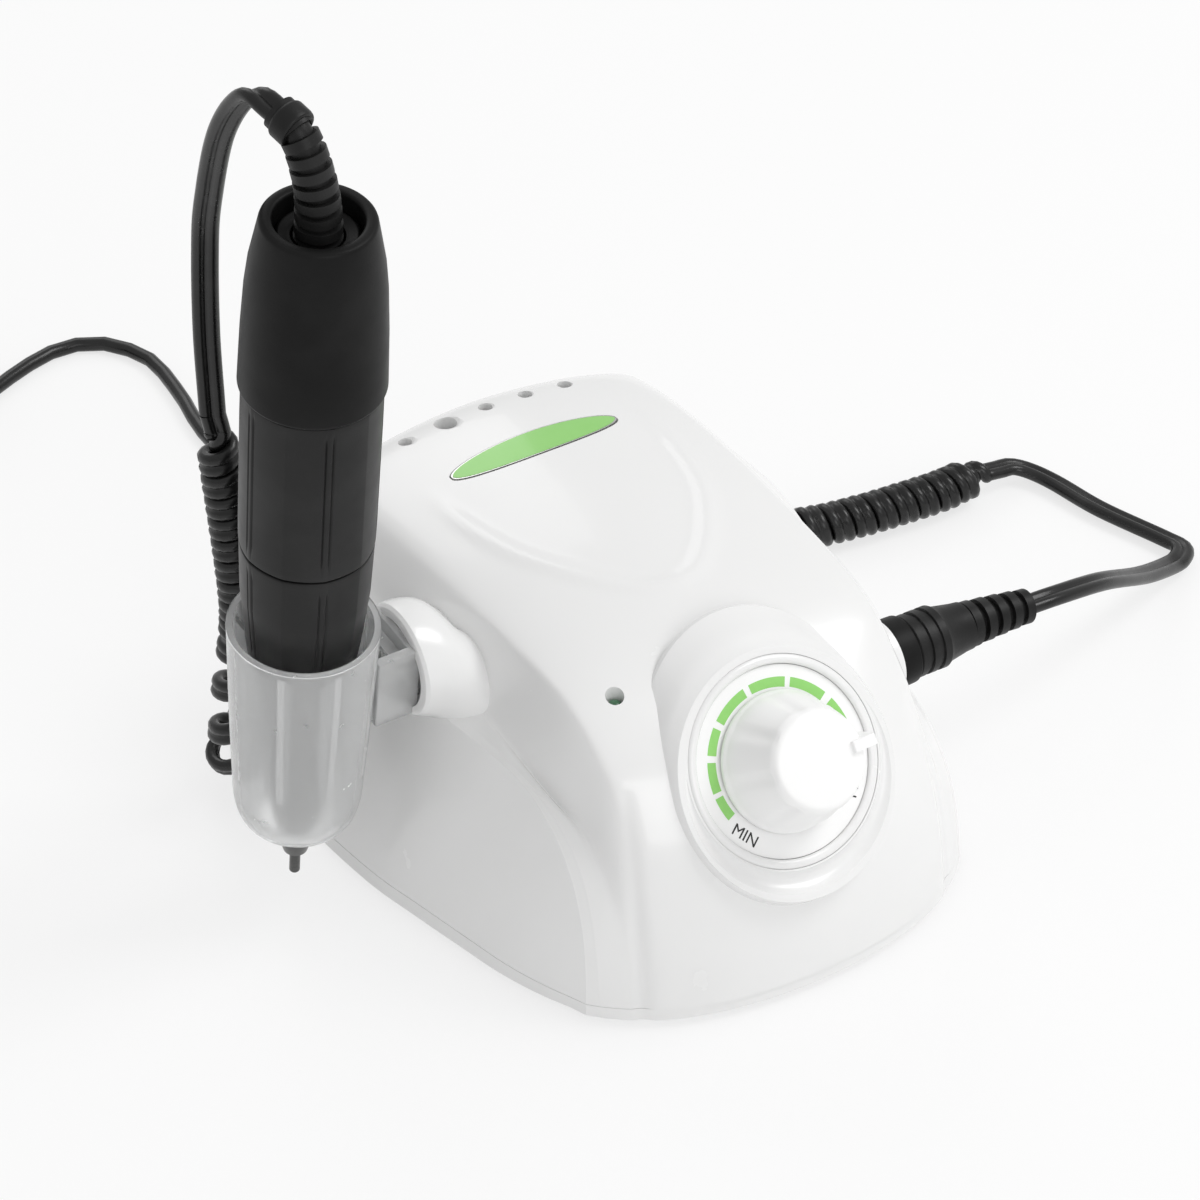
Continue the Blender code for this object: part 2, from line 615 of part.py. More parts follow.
for side in (-1, 1):
    for y in (SCREW_FRONT_Y, SCREW_REAR_Y):
        hole = disc("screw_hole", SCREW_RADIUS + GAP, -OVERRUN, FOOT_HEIGHT + SCREW_LENGTH + OVERRUN)
        combine(shell, cutter("screw_hole", hole, frame, (side * SCREW_X, y, 0.0)))


def plate_mesh(name, grow, low, high):
    """The lens-shaped plate, bent over the dome: four corners at each station along X."""
    stations = 12
    rings = []
    for k in range(stations + 1):
        turn = pi * (k + 0.35) / (stations + 0.7)
        x = -cos(turn) * (PLATE_LENGTH / 2 + grow)
        half = sin(turn) ** 1.4 * PLATE_WIDTH / 2 + grow
        base = dome_height(x, PLATE_Y)
        tilt = (dome_height(x, PLATE_Y + half) - dome_height(x, PLATE_Y - half)) / 2
        rings.append([(x, PLATE_Y - half, base - tilt + low), (x, PLATE_Y + half, base + tilt + low),
                      (x, PLATE_Y + half, base + tilt + high), (x, PLATE_Y - half, base - tilt + high)])
    return lofted(name, rings)


PLATE_LOW = PLATE_PROUD - PLATE_THICKNESS
combine(shell, cutter("plate_recess", plate_mesh("plate_recess", GAP, PLATE_LOW - GAP, OVERRUN), frame))
weld = shell.modifiers.new("weld_cuts", "WELD")
weld.merge_threshold = WELD
place("name_plate", plate_mesh("name_plate", 0.0, PLATE_LOW, PLATE_PROUD), "green", frame)
lamp_profile = [(0.0, -LAMP_LENGTH - LAMP_RADIUS), (LAMP_RADIUS * 1.6, -LAMP_LENGTH - LAMP_RADIUS),
                (LAMP_RADIUS * 1.6, -LAMP_LENGTH - GAP), (LAMP_RADIUS, -LAMP_LENGTH - GAP),
                (LAMP_RADIUS, -LAMP_SINK - LAMP_RADIUS), (LAMP_RADIUS * 0.7, -LAMP_SINK - LAMP_RADIUS * 0.3),
                (0.0, -LAMP_SINK)]
lamp_mesh = turned("power_lamp", lamp_profile, SMALL_SEGMENTS)
place("power_lamp", lamp_mesh, "board", frame, (LAMP_X, LAMP_Y, LAMP_Z))

# Tray, its standoffs, feet and screws
tray = place("base_tray", body_solid("base_tray", 22, 6), "white", frame)
tray_slab = slab("tray_slab", (FAR * 2, FAR * 2, FAR), (0.0, 0.0, PARTING - FAR / 2))
combine(tray, cutter("tray_slab", tray_slab, frame), "INTERSECT")
for x in (-BOARD_WIDTH / 2 + OVERRUN, BOARD_WIDTH / 2 - OVERRUN):
    for y in (BOARD_Y - BOARD_DEPTH / 2 + OVERRUN, BOARD_Y + BOARD_DEPTH / 2 - OVERRUN):
        standoff = disc("board_standoff", STANDOFF_RADIUS, PARTING - WALL / 2, BOARD_Z - GAP)
        combine(tray, cutter("board_standoff", standoff, frame, (x, y, 0.0)), "UNION")
number = 0
for side in (-1, 1):
    for y in (FOOT_FRONT_Y, FOOT_REAR_Y):
        number += 1
        stem = FOOT_RADIUS / 4
        hole = disc("foot_hole", stem + GAP, 0.0, FOOT_HEIGHT + OVERRUN)
        combine(tray, cutter("foot_hole", hole, frame, (side * FOOT_X, y, 0.0)))
        profile = [(0.0, 0.0), (FOOT_RADIUS * 0.9, 0.0), (FOOT_RADIUS, FOOT_HEIGHT / 4),
                   (FOOT_RADIUS, FOOT_HEIGHT - GAP), (stem, FOOT_HEIGHT - GAP),
                   (stem, PARTING - GAP), (0.0, PARTING - GAP)]
        foot_mesh = turned("foot", profile, SMALL_SEGMENTS)
        place(f"foot_{number}", foot_mesh, "rubber", frame, (side * FOOT_X, y, 0.0))
number = 0
for side in (-1, 1):
    for y in (SCREW_FRONT_Y, SCREW_REAR_Y):
        number += 1
        head_top = SCREW_HEAD_HEIGHT + GAP
        head_way = SCREW_HEAD_RADIUS + GAP
        profile = [(0.0, -OVERRUN), (head_way, -OVERRUN), (head_way, head_top + GAP),
                   (SCREW_RADIUS + GAP, head_top + GAP), (SCREW_RADIUS + GAP, OVERRUN), (0.0, OVERRUN)]
        hole = turned("screw_way", profile, SMALL_SEGMENTS)
        combine(tray, cutter("screw_way", hole, frame, (side * SCREW_X, y, FOOT_HEIGHT)))
        profile = [(0.0, GAP), (SCREW_HEAD_RADIUS, GAP), (SCREW_HEAD_RADIUS, head_top),
                   (SCREW_RADIUS, head_top), (SCREW_RADIUS, SCREW_LENGTH),
                   (0.0, SCREW_LENGTH + SCREW_RADIUS)]
        screw = turned("base_screw", profile, SMALL_SEGMENTS)
        place(f"base_screw_{number}", screw, "steel", frame, (side * SCREW_X, y, FOOT_HEIGHT))

# Rear panel, recessed in the open rear of the cover
panel = place("rear_panel", body_solid("rear_panel", 20, 5, WALL + GAP, OVERRUN, FAR / 8), "white", frame)
panel_size = (FAR * 2, REAR_THICKNESS, FAR)
panel_slab = slab("panel_slab", panel_size, (0.0, REAR_Y - REAR_THICKNESS / 2, PARTING + GAP + FAR / 2))
combine(panel, cutter("panel_slab", panel_slab, frame), "INTERSECT")
BODY_CUT = (SWITCH_WIDTH - 2 * FLANGE_EDGE, SWITCH_HEIGHT - 2 * FLANGE_EDGE)
SELECTOR_CUT = (SELECTOR_WIDTH - 2 * FLANGE_EDGE, SELECTOR_HEIGHT - 2 * FLANGE_EDGE)


def panel_window(name, x, z, size):
    hole = slab(name, (size[0] + 2 * GAP, OVERRUN * 4, size[1] + 2 * GAP), (x, REAR_Y, z))
    combine(panel, cutter(name, hole, frame))


def framed_body(name, x, z, outer_size, cut, pocket, depth):
    """A flanged switch body through the panel, with a pocket open to the rear."""
    flange_size = (outer_size[0], FLANGE_THICKNESS, outer_size[1])
    flange = slab(name, flange_size, (0.0, FLANGE_THICKNESS / 2 + GAP, 0.0))
    body = place(name, flange, "black", frame, (x, REAR_Y, z))
    inner_size = (cut[0], depth + FLANGE_THICKNESS / 2, cut[1])
    inner = slab(name + "_inner", inner_size, (0.0, FLANGE_THICKNESS / 4 * 3 + GAP - inner_size[1] / 2, 0.0))
    combine(body, cutter(name + "_inner", inner, frame, (x, REAR_Y, z)), "UNION")
    room_size = (pocket[0], depth, pocket[1])
    room = slab(name + "_pocket", room_size, (0.0, OVERRUN - depth / 2, 0.0))
    combine(body, cutter(name + "_pocket", room, frame, (x, REAR_Y, z)))


# The rocker's side view: share of half height, share of half thickness.
rocker_shares = [(-1.0, 0.9), (-1.0, -0.6), (-0.35, -2.0), (0.35, -2.0), (1.0, -0.6), (1.0, 0.9),
                 (0.0, 0.35)]
rocker_pocket = (BODY_CUT[0] - WALL, BODY_CUT[1] - WALL / 2)
for switch, x in (("power", POWER_X), ("direction", DIRECTION_X)):
    panel_window(switch + "_window", x, SWITCH_Z, BODY_CUT)
    framed_body(switch + "_switch_frame", x, SWITCH_Z, (SWITCH_WIDTH, SWITCH_HEIGHT), BODY_CUT,
                rocker_pocket, SWITCH_DEPTH)
    pivot = empty(switch + "_pivot", frame, (x, REAR_Y + FLANGE_THICKNESS, SWITCH_Z))
    half_high = rocker_pocket[1] / 2 - 2 * GAP
    half_thick = FLANGE_THICKNESS
    half_wide = rocker_pocket[0] / 2 - GAP
    rings = [[(side * half_wide, b * half_thick, a * half_high) for a, b in rocker_shares]
             for side in (-1, 1)]
    place(switch + "_rocker", lofted(switch + "_rocker", rings), "black", pivot,
          rotation=(radians(-ROCKER_REST_DEG), 0.0, 0.0))

panel_window("selector_window", SELECTOR_X, SWITCH_Z, SELECTOR_CUT)
framed_body("selector_frame", SELECTOR_X, SWITCH_Z, (SELECTOR_WIDTH, SELECTOR_HEIGHT), SELECTOR_CUT,
            (SELECTOR_TRAVEL + SLIDE_SIZE + 2 * GAP, SLIDE_SIZE + 2 * GAP), SWITCH_DEPTH)
slide_size = (SLIDE_SIZE, SWITCH_DEPTH - 2 * GAP, SLIDE_SIZE)
slide = slab("selector_slide", slide_size, (0.0, OVERRUN - SWITCH_DEPTH / 2, 0.0))
slide_x = SELECTOR_X - SELECTOR_TRAVEL / 2
place("selector_slide", slide, "black", frame, (slide_x, REAR_Y, SWITCH_Z))

for name, x, radius in (("gland", GLAND_X, GLAND_RADIUS), ("jack", JACK_X, JACK_RADIUS * 0.8),
                        ("fuse", FUSE_X, FUSE_RADIUS)):
    hole = rear_disc(name + "_hole", radius + GAP, REAR_Y - OVERRUN, REAR_Y + OVERRUN, x, LOW_ROW_Z)
    combine(panel, cutter(name + "_hole", hole, frame))


def rear_turned(name, profile, look, x, parent=None):
    mesh = moved(turned(name, profile, SMALL_SEGMENTS + 4), ALONG_Y)
    return place(name, mesh, look, parent or frame, (0.0, 0.0, 0.0) if parent else (x, REAR_Y, LOW_ROW_Z))


gland_profile = [(0.0, -OVERRUN), (GLAND_RADIUS * 1.3, -OVERRUN),
                 (GLAND_RADIUS * 1.3, -REAR_THICKNESS - GAP), (GLAND_RADIUS, -REAR_THICKNESS - GAP),
                 (GLAND_RADIUS, GAP), (GLAND_RADIUS * 1.4, GAP),
                 (GLAND_RADIUS * 1.4, FLANGE_THICKNESS + GAP), (GLAND_RADIUS * 0.95, FLANGE_THICKNESS + GAP),
                 (MAINS_RADIUS + 3 * GAP, GLAND_LENGTH), (MAINS_RADIUS + GAP, GLAND_LENGTH),
                 (MAINS_RADIUS + GAP, 0.0), (0.0, 0.0)]
rear_turned("mains_gland", gland_profile, "rubber", GLAND_X)
jack_profile = [(0.0, -SWITCH_DEPTH), (JACK_RADIUS, -SWITCH_DEPTH), (JACK_RADIUS, -REAR_THICKNESS - GAP),
                (JACK_RADIUS * 0.8, -REAR_THICKNESS - GAP), (JACK_RADIUS * 0.8, GAP), (JACK_RADIUS, GAP),
                (JACK_RADIUS, FLANGE_THICKNESS + GAP), (JACK_BORE_RADIUS, FLANGE_THICKNESS + GAP),
                (JACK_BORE_RADIUS, OVERRUN / 2 - SWITCH_DEPTH), (0.0, OVERRUN / 2 - SWITCH_DEPTH)]
rear_turned("pedal_jack", jack_profile, "black", JACK_X)
FUSE_BORE = FUSE_RADIUS * 0.7
holder_profile = [(0.0, -FUSE_LENGTH), (FUSE_RADIUS, -FUSE_LENGTH), (FUSE_RADIUS, GAP),
                  (FUSE_RADIUS * 1.25, GAP), (FUSE_RADIUS * 1.25, FLANGE_THICKNESS + GAP),
                  (FUSE_BORE, FLANGE_THICKNESS + GAP), (FUSE_BORE, OVERRUN / 2 - FUSE_LENGTH),
                  (0.0, OVERRUN / 2 - FUSE_LENGTH)]
rear_turned("fuse_holder", holder_profile, "black", FUSE_X)
fuse_pivot = empty("fuse_pivot", frame, (FUSE_X, REAR_Y, LOW_ROW_Z))
cap_base = FLANGE_THICKNESS + 2 * GAP
cap_profile = [(0.0, -FUSE_LENGTH / 2), (FUSE_BORE - GAP, -FUSE_LENGTH / 2), (FUSE_BORE - GAP, cap_base),
               (FUSE_RADIUS * 1.1, cap_base), (FUSE_RADIUS, cap_base + FUSE_CAP_HEIGHT),
               (0.0, cap_base + FUSE_CAP_HEIGHT)]
fuse_cap = rear_turned("fuse_cap", cap_profile, "black", FUSE_X, fuse_pivot)
slot_size = (FUSE_RADIUS * 1.4, FUSE_CAP_HEIGHT / 2, FLANGE_THICKNESS)
slot = slab("cap_slot", slot_size, (0.0, cap_base + FUSE_CAP_HEIGHT, 0.0))
combine(fuse_cap, cutter("cap_slot", slot, fuse_pivot))

# Works inside the box
place("circuit_board", slab("circuit_board", (BOARD_WIDTH, BOARD_DEPTH, BOARD_THICKNESS)), "board", frame,
      (0.0, BOARD_Y, BOARD_Z + BOARD_THICKNESS / 2))
CORE_Z = PARTING + GAP + CORE_HEIGHT / 2
WINDOW_WIDTH = (CORE_WIDTH - 2 * CORE_LEG) / 2 - CORE_YOKE / 3
core_mesh = slab("transformer_core", (CORE_WIDTH, CORE_DEPTH, CORE_HEIGHT))
core = place("transformer_core", core_mesh, "steel", frame, (0.0, CORE_Y, CORE_Z))
for side in (-1, 1):
    window_size = (WINDOW_WIDTH, CORE_DEPTH * 2, CORE_HEIGHT - 2 * CORE_YOKE)
    window = slab("core_window", window_size, (side * (CORE_LEG + WINDOW_WIDTH) / 2, 0.0, 0.0))
    combine(core, cutter("core_window", window, frame, (0.0, CORE_Y, CORE_Z)))
winding_size = (CORE_LEG + 2 * WINDOW_WIDTH - 2 * GAP, WINDING_DEPTH, CORE_HEIGHT - 2 * CORE_YOKE - 2 * GAP)
winding = place("transformer_winding", slab("transformer_winding", winding_size, edge=WALL), "copper", frame,
                (0.0, CORE_Y, CORE_Z))
leg = slab("winding_hole", (CORE_LEG + 2 * GAP, CORE_DEPTH + 2 * GAP, CORE_HEIGHT))
combine(winding, cutter("winding_hole", leg, frame, (0.0, CORE_Y, CORE_Z)))
sink_outline = []
fin_pitch = SINK_WIDTH / SINK_FINS
for k in range(SINK_FINS):
    left = k * fin_pitch - SINK_WIDTH / 2
    right = left + fin_pitch / 3
    sink_outline += [(left, WALL), (left, SINK_HEIGHT), (right, SINK_HEIGHT), (right, WALL)]
sink_outline = [(-SINK_WIDTH / 2, 0.0)] + sink_outline[1:] + [(SINK_WIDTH / 2 - fin_pitch * 2 / 3, 0.0)]
sink = moved(prism("heat_sink", sink_outline, -SINK_DEPTH / 2, SINK_DEPTH / 2), ALONG_Y)
sink = moved(sink, Matrix.Scale(-1.0, 4, (0.0, 0.0, 1.0)))
sink.flip_normals()
sink_place = (SINK_WIDTH / 2, BOARD_Y + OVERRUN, BOARD_Z + BOARD_THICKNESS + GAP)
place("heat_sink", sink, "alloy", frame, sink_place)

# Dial, bezel, potentiometer and knob, in the dial's own frame
dial_mesh = ring("dial_plate", BUSH_RADIUS + GAP, DIAL_RADIUS, -DIAL_THICKNESS, 0.0)
place("dial_plate", dial_mesh, "white", dial)
bezel_in = DIAL_RADIUS + GAP
bezel_out = bezel_in + BEZEL_WIDTH
bezel_top = BEZEL_HEIGHT - DIAL_THICKNESS
bezel_profile = [(bezel_in, -DIAL_THICKNESS), (bezel_out, -DIAL_THICKNESS), (bezel_out, bezel_top * 0.6),
                 (bezel_out - BEZEL_WIDTH / 3, bezel_top), (bezel_in + BEZEL_WIDTH / 3, bezel_top),
                 (bezel_in, bezel_top * 0.6)]
place("dial_bezel", turned("dial_bezel", bezel_profile), "white", dial)
pot_top = -SEAT - BLOCK_THICKNESS - GAP
pot_profile = [(0.0, pot_top - POT_DEPTH), (POT_RADIUS, pot_top - POT_DEPTH), (POT_RADIUS, pot_top),
               (BUSH_RADIUS, pot_top), (BUSH_RADIUS, GAP), (SHAFT_RADIUS + GAP, GAP),
               (SHAFT_RADIUS + GAP, WALL - pot_top * -1 - POT_DEPTH), (0.0, WALL - pot_top * -1 - POT_DEPTH)]
place("speed_potentiometer", turned("speed_potentiometer", pot_profile, SMALL_SEGMENTS + 8), "alloy", dial)
shaft = disc("pot_shaft", SHAFT_RADIUS, WALL + GAP + pot_top - POT_DEPTH, SHAFT_RISE)
place("pot_shaft", shaft, "steel", dial)
KNOB_BASE = 2 * GAP
knob_inner = KNOB_RADIUS - KNOB_WALL - KNOB_FLUTE_DEPTH
hub_radius = SHAFT_RADIUS + KNOB_WALL
knob_profile = [(knob_inner, KNOB_BASE), (KNOB_RADIUS, KNOB_BASE, 0.0),
                (KNOB_RADIUS, KNOB_BASE + KNOB_WALL / 2, 0.0),
                (KNOB_RADIUS * 0.955, KNOB_BASE + KNOB_WALL, 1.0),
                (KNOB_FACE_RADIUS * 1.05, KNOB_HEIGHT - KNOB_WALL * 0.7, 1.0),
                (KNOB_FACE_RADIUS * 1.01, KNOB_HEIGHT - KNOB_WALL * 0.2, 0.4),
                (KNOB_FACE_RADIUS * 0.95, KNOB_HEIGHT), (0.0, KNOB_HEIGHT), (0.0, SHAFT_RISE + GAP),
                (SHAFT_RADIUS + GAP, SHAFT_RISE + GAP), (SHAFT_RADIUS + GAP, KNOB_BASE + GAP),
                (hub_radius, KNOB_BASE + GAP), (hub_radius, KNOB_HEIGHT - 2 * KNOB_WALL),
                (KNOB_FACE_RADIUS - 2 * KNOB_WALL, KNOB_HEIGHT - 2 * KNOB_WALL)]
knob_mesh = turned("speed_knob", knob_profile, KNOB_FLUTES * 3, KNOB_FLUTES, KNOB_FLUTE_DEPTH)
knob = place("speed_knob", knob_mesh, "white", dial)
tab_size = (POINTER_REACH - knob_inner - KNOB_WALL / 2, POINTER_WIDTH, KNOB_WALL)
tab_middle = (POINTER_REACH + knob_inner + KNOB_WALL / 2) / 2
tab = slab("knob_pointer", tab_size, (tab_middle, 0.0, KNOB_BASE + GAP + KNOB_WALL / 2))
combine(knob, cutter("knob_pointer", tab, dial, rotation=(0.0, 0.0, radians(POINTER_DEG))), "UNION")

# Stand: hub in the ear's pocket, pivot screw, bracket and clear cup
holder = empty("holder_pivot", frame, (HOLDER_X, EAR_Y, EAR_Z), (radians(LEAN_DEG), 0.0, 0.0))
pivot = empty("pivot_axis", frame, (0.0, EAR_Y, EAR_Z))
hub_low = -EAR_REACH
hub_high = POCKET_DEPTH - EAR_REACH - GAP
hub_profile = [(PIVOT_RADIUS + GAP, hub_low), (HUB_RADIUS * 0.55, hub_low),
               (HUB_RADIUS * 0.55, hub_low + WALL / 2), (HUB_RADIUS * 0.85, hub_low + WALL / 2),
               (HUB_RADIUS * 0.85, hub_low), (HUB_RADIUS, hub_low),
               (HUB_RADIUS, hub_high), (PIVOT_RADIUS + GAP, hub_high)]
hub_mesh = moved(turned("holder_hub", hub_profile), ALONG_X)
place("holder_hub", moved(hub_mesh, Matrix.Translation((-HOLDER_X, 0.0, 0.0))), "cloudy", holder)
head_low = hub_low - GAP * 2 - BRACKET_WALL - PIVOT_HEAD
screw_profile = [(0.0, head_low), (PIVOT_HEAD_RADIUS, head_low), (PIVOT_HEAD_RADIUS, head_low + PIVOT_HEAD),
                 (PIVOT_RADIUS, head_low + PIVOT_HEAD), (PIVOT_RADIUS, -EAR_ROOT - OVERRUN),
                 (0.0, -EAR_ROOT - OVERRUN)]
screw_mesh = moved(turned("holder_screw", screw_profile, SMALL_SEGMENTS), ALONG_X)
place("holder_screw", screw_mesh, "steel", pivot)

# The cup's wall: share of the rim's radius, share of the cup's length.
cup_shares = [(1.0, 0.0), (0.994, -0.02), (0.950, -0.333), (0.869, -0.630), (0.8125, -0.815),
              (0.725, -0.926), (0.60, -0.985), (0.515, -1.0)]
cup_outside = [(r * CUP_RADIUS, h * CUP_LENGTH) for r, h in cup_shares]
cup_inside = [(r * CUP_RADIUS - CUP_WALL, h * (CUP_LENGTH - CUP_WALL)) for r, h in cup_shares[:-1]]
hole_radius = cup_shares[-1][0] * CUP_RADIUS
cup_inside = [p for p in cup_inside if p[0] > hole_radius] + [(hole_radius, -CUP_LENGTH + CUP_WALL)]
cup_profile = cup_outside + list(reversed(cup_inside))
cup = place("holder_cup", turned("holder_cup", cup_profile), "cloudy", holder, (0.0, 0.0, RIM_RISE))


def cup_wall_radius(height):
    """Middle of the cup's wall at a height below the rim."""
    for (r0, h0), (r1, h1) in zip(cup_outside, cup_outside[1:]):
        if h1 <= height <= h0:
            return r0 + (r1 - r0) * (height - h0) / (h1 - h0) - CUP_WALL / 2
    return cup_outside[-1][0]


rib_heights = [CUP_REST, CUP_REST * 2, CUP_REST * 3, CUP_REST * 4, CUP_REST * 5]
for k in range(CUP_RIBS):
    outline = [(CUP_RIB_RADIUS, CUP_REST)] + [(cup_wall_radius(h), h) for h in rib_heights]
    outline.append((CUP_RIB_RADIUS, rib_heights[-1] - OVERRUN))
    rings = [[(r, side * CUP_RIB_THICKNESS / 2, h) for r, h in outline] for side in (-1, 1)]
    rib = cutter("cup_rib", lofted("cup_rib", rings), holder, (0.0, 0.0, RIM_RISE),
                 (0.0, 0.0, 2 * pi * (k + 0.5) / CUP_RIBS))
    combine(cup, rib, "UNION")
plate_x = -HOLDER_X - EAR_REACH - GAP
wall_x = cup_wall_radius(-RIM_RISE)
end_plate = slab("bracket_end", (BRACKET_WALL, BRACKET_WIDTH, BRACKET_HEIGHT),
                 (plate_x - BRACKET_WALL / 2, 0.0, 0.0))
combine(cup, cutter("bracket_end", end_plate, holder), "UNION")
for side in (-1, 1):
    arm_size = (plate_x - wall_x - BRACKET_WALL / 2 + OVERRUN / 4, BRACKET_WALL, BRACKET_HEIGHT)
    reach = (plate_x - BRACKET_WALL / 2 + wall_x - OVERRUN / 4) / 2
    arm = slab("bracket_arm", arm_size, (reach, side * (BRACKET_WIDTH - BRACKET_WALL) / 2, 0.0))
    combine(cup, cutter("bracket_arm", arm, holder), "UNION")
pivot_way = moved(disc("bracket_hole", PIVOT_RADIUS + GAP, plate_x - OVERRUN, plate_x + OVERRUN), ALONG_X)
combine(cup, cutter("bracket_hole", pivot_way, holder))

# Handpiece in the cup. Its own frame has its zero at the cup's rim.
hand = empty("handpiece_lift", holder, (0.0, 0.0, RIM_RISE))
disc_room = CAP_OPENING_RADIUS - GAP
cap_profile = [(CAP_OPENING_RADIUS, CAP_TOP), (CAP_TOP_RADIUS, CAP_TOP),
               (CAP_SHOULDER_RADIUS, CAP_SHOULDER), (CAP_SHOULDER_RADIUS * 1.045, CAP_SHOULDER * 0.95),
               (CAP_RADIUS * 0.993, CAP_BOTTOM * 1.1), (CAP_RADIUS, CAP_BOTTOM + GAP),
               (CAP_RADIUS - GAP, CAP_BOTTOM), (CAP_BORE_RADIUS, CAP_BOTTOM),
               (CAP_BORE_RADIUS, SPIGOT_TOP * 1.2), (CAP_NECK_RADIUS, DISC_BOTTOM),
               (CAP_NECK_RADIUS, DISC_BOTTOM + OVERRUN), (CAP_OPENING_RADIUS, DISC_BOTTOM + OVERRUN)]
place("back_cap", turned("back_cap", cap_profile), "black", hand)
disc_profile = [(BOOT_RADIUS + GAP, DISC_BOTTOM), (CAP_NECK_RADIUS - GAP, DISC_BOTTOM),
                (CAP_NECK_RADIUS - GAP, DISC_BOTTOM + OVERRUN - GAP),
                (disc_room, DISC_BOTTOM + OVERRUN - GAP),
                (disc_room, DISC_TOP), (BOOT_RADIUS + GAP, DISC_TOP)]
place("end_disc", turned("end_disc", disc_profile), "black", hand)
spigot_radius = CAP_BORE_RADIUS - GAP
motor_profile = [(MOTOR_BORE_RADIUS, SLEEVE_SEAM + GAP), (MOTOR_FRONT_RADIUS, SLEEVE_SEAM + GAP, 0.0),
                 (MOTOR_FRONT_RADIUS, SLEEVE_SEAM + WALL, 0.0),
                 (MOTOR_FRONT_RADIUS, SLEEVE_SEAM + 2 * WALL, 1.0),
                 (MOTOR_RADIUS, CAP_BOTTOM - 2 * WALL, 1.0), (MOTOR_RADIUS, CAP_BOTTOM - WALL, 0.0),
                 (MOTOR_RADIUS, CAP_BOTTOM - GAP, 0.0), (spigot_radius, CAP_BOTTOM - GAP),
                 (spigot_radius, SPIGOT_TOP), (MOTOR_BORE_RADIUS, SPIGOT_TOP)]
motor_mesh = turned("motor_sleeve", motor_profile, MOTOR_GROOVES * 4, MOTOR_GROOVES, MOTOR_GROOVE_DEPTH)
place("motor_sleeve", motor_mesh, "black", hand, rotation=(0.0, 0.0, radians(GROOVE_TURN_DEG)))
magnet_out = MOTOR_BORE_RADIUS - GAP
shaft_bore = SHAFT_RADIUS + GAP
bearing_seat = BEARING_RADIUS + GAP
magnet = ring("stator_magnet", MAGNET_RADIUS, magnet_out, MAGNET_LOW, MAGNET_HIGH, SMALL_SEGMENTS * 2)
place("stator_magnet", magnet, "alloy", hand)
bell_high = REAR_BEARING_Z + BEARING_WIDTH + GAP
bell_profile = [(bearing_seat, bell_high), (magnet_out, bell_high),
                (magnet_out, REAR_BEARING_Z - 2 * GAP), (bearing_seat, REAR_BEARING_Z - 2 * GAP)]
place("rear_bell", turned("rear_bell", bell_profile, SMALL_SEGMENTS * 2), "alloy", hand)
for name, low in (("rear_bearing", REAR_BEARING_Z), ("front_bearing", FRONT_BEARING_Z)):
    bearing = ring(name, shaft_bore, BEARING_RADIUS, low, low + BEARING_WIDTH, SMALL_SEGMENTS + 4)
    place(name, bearing, "steel", hand)
brushes = ring("brush_ring", BRUSH_RADIUS, magnet_out, BRUSH_LOW, BRUSH_HIGH, SMALL_SEGMENTS * 2)
place("brush_ring", brushes, "black", hand)
chuck = empty("chuck_axis", hand)
chuck_profile = [(CHUCK_BORE_RADIUS, SLEEVE_SEAM - GAP), (CHUCK_RADIUS, SLEEVE_SEAM - GAP),
                 (CHUCK_RADIUS * 0.975, SLEEVE_SEAM / 2), (CHUCK_RADIUS * 0.90, 0.0),
                 (CHUCK_END_RADIUS * 1.03, SLEEVE_END * 0.9), (CHUCK_END_RADIUS, SLEEVE_END),
                 (CHUCK_BORE_RADIUS, SLEEVE_END)]
place("chuck_sleeve", turned("chuck_sleeve", chuck_profile), "black", chuck)
nose_shaft = CHUCK_BORE_RADIUS - GAP
nose_profile = [(shaft_bore + GAP, NOSE_SHOULDER), (shaft_bore + GAP, FRONT_BEARING_Z - GAP),
                (bearing_seat, FRONT_BEARING_Z - GAP), (bearing_seat, MAGNET_LOW - 2 * GAP),
                (magnet_out, MAGNET_LOW - 2 * GAP), (magnet_out, SLEEVE_SEAM + 2 * GAP),
                (nose_shaft, SLEEVE_SEAM + 2 * GAP), (nose_shaft, SLEEVE_END),
                (NOSE_RADIUS, SLEEVE_END - GAP * 3),
                (NOSE_RADIUS, NOSE_SHOULDER), (NOSE_CAP_RADIUS * 1.08, NOSE_CAP_TOP + GAP),
                (COLLET_RADIUS + GAP, NOSE_CAP_TOP + GAP), (COLLET_RADIUS + GAP, NOSE_SHOULDER)]
place("nose_housing", turned("nose_housing", nose_profile, SMALL_SEGMENTS + 6), "steel", hand)
pin_bore = SHANK_RADIUS + GAP
nose_cap_profile = [(pin_bore, NOSE_CAP_TOP), (NOSE_CAP_RADIUS, NOSE_CAP_TOP),
                    (NOSE_CAP_RADIUS, NOSE_CAP_TOP - WALL),
                    (NOSE_TIP_RADIUS, NOSE_TIP), (pin_bore, NOSE_TIP)]
place("nose_cap", turned("nose_cap", nose_cap_profile, SMALL_SEGMENTS), "steel", hand)
spindle = empty("spindle_axis", hand)
spindle_end = NOSE_SHOULDER + GAP
spindle_mesh = disc("spindle_shaft", SHAFT_RADIUS, spindle_end, BRUSH_HIGH + GAP * 3, SMALL_SEGMENTS + 4)
place("spindle_shaft", spindle_mesh, "steel", spindle)
rotor = ring("rotor_core", shaft_bore, ROTOR_RADIUS, MAGNET_LOW + 3 * GAP, MAGNET_HIGH - 6 * GAP,
             SMALL_SEGMENTS + 4)
place("rotor_core", rotor, "steel", spindle)
commutator = ring("commutator", shaft_bore, COMMUTATOR_RADIUS, BRUSH_LOW + GAP, BRUSH_HIGH - GAP,
                  SMALL_SEGMENTS + 4)
place("commutator", commutator, "copper", spindle)
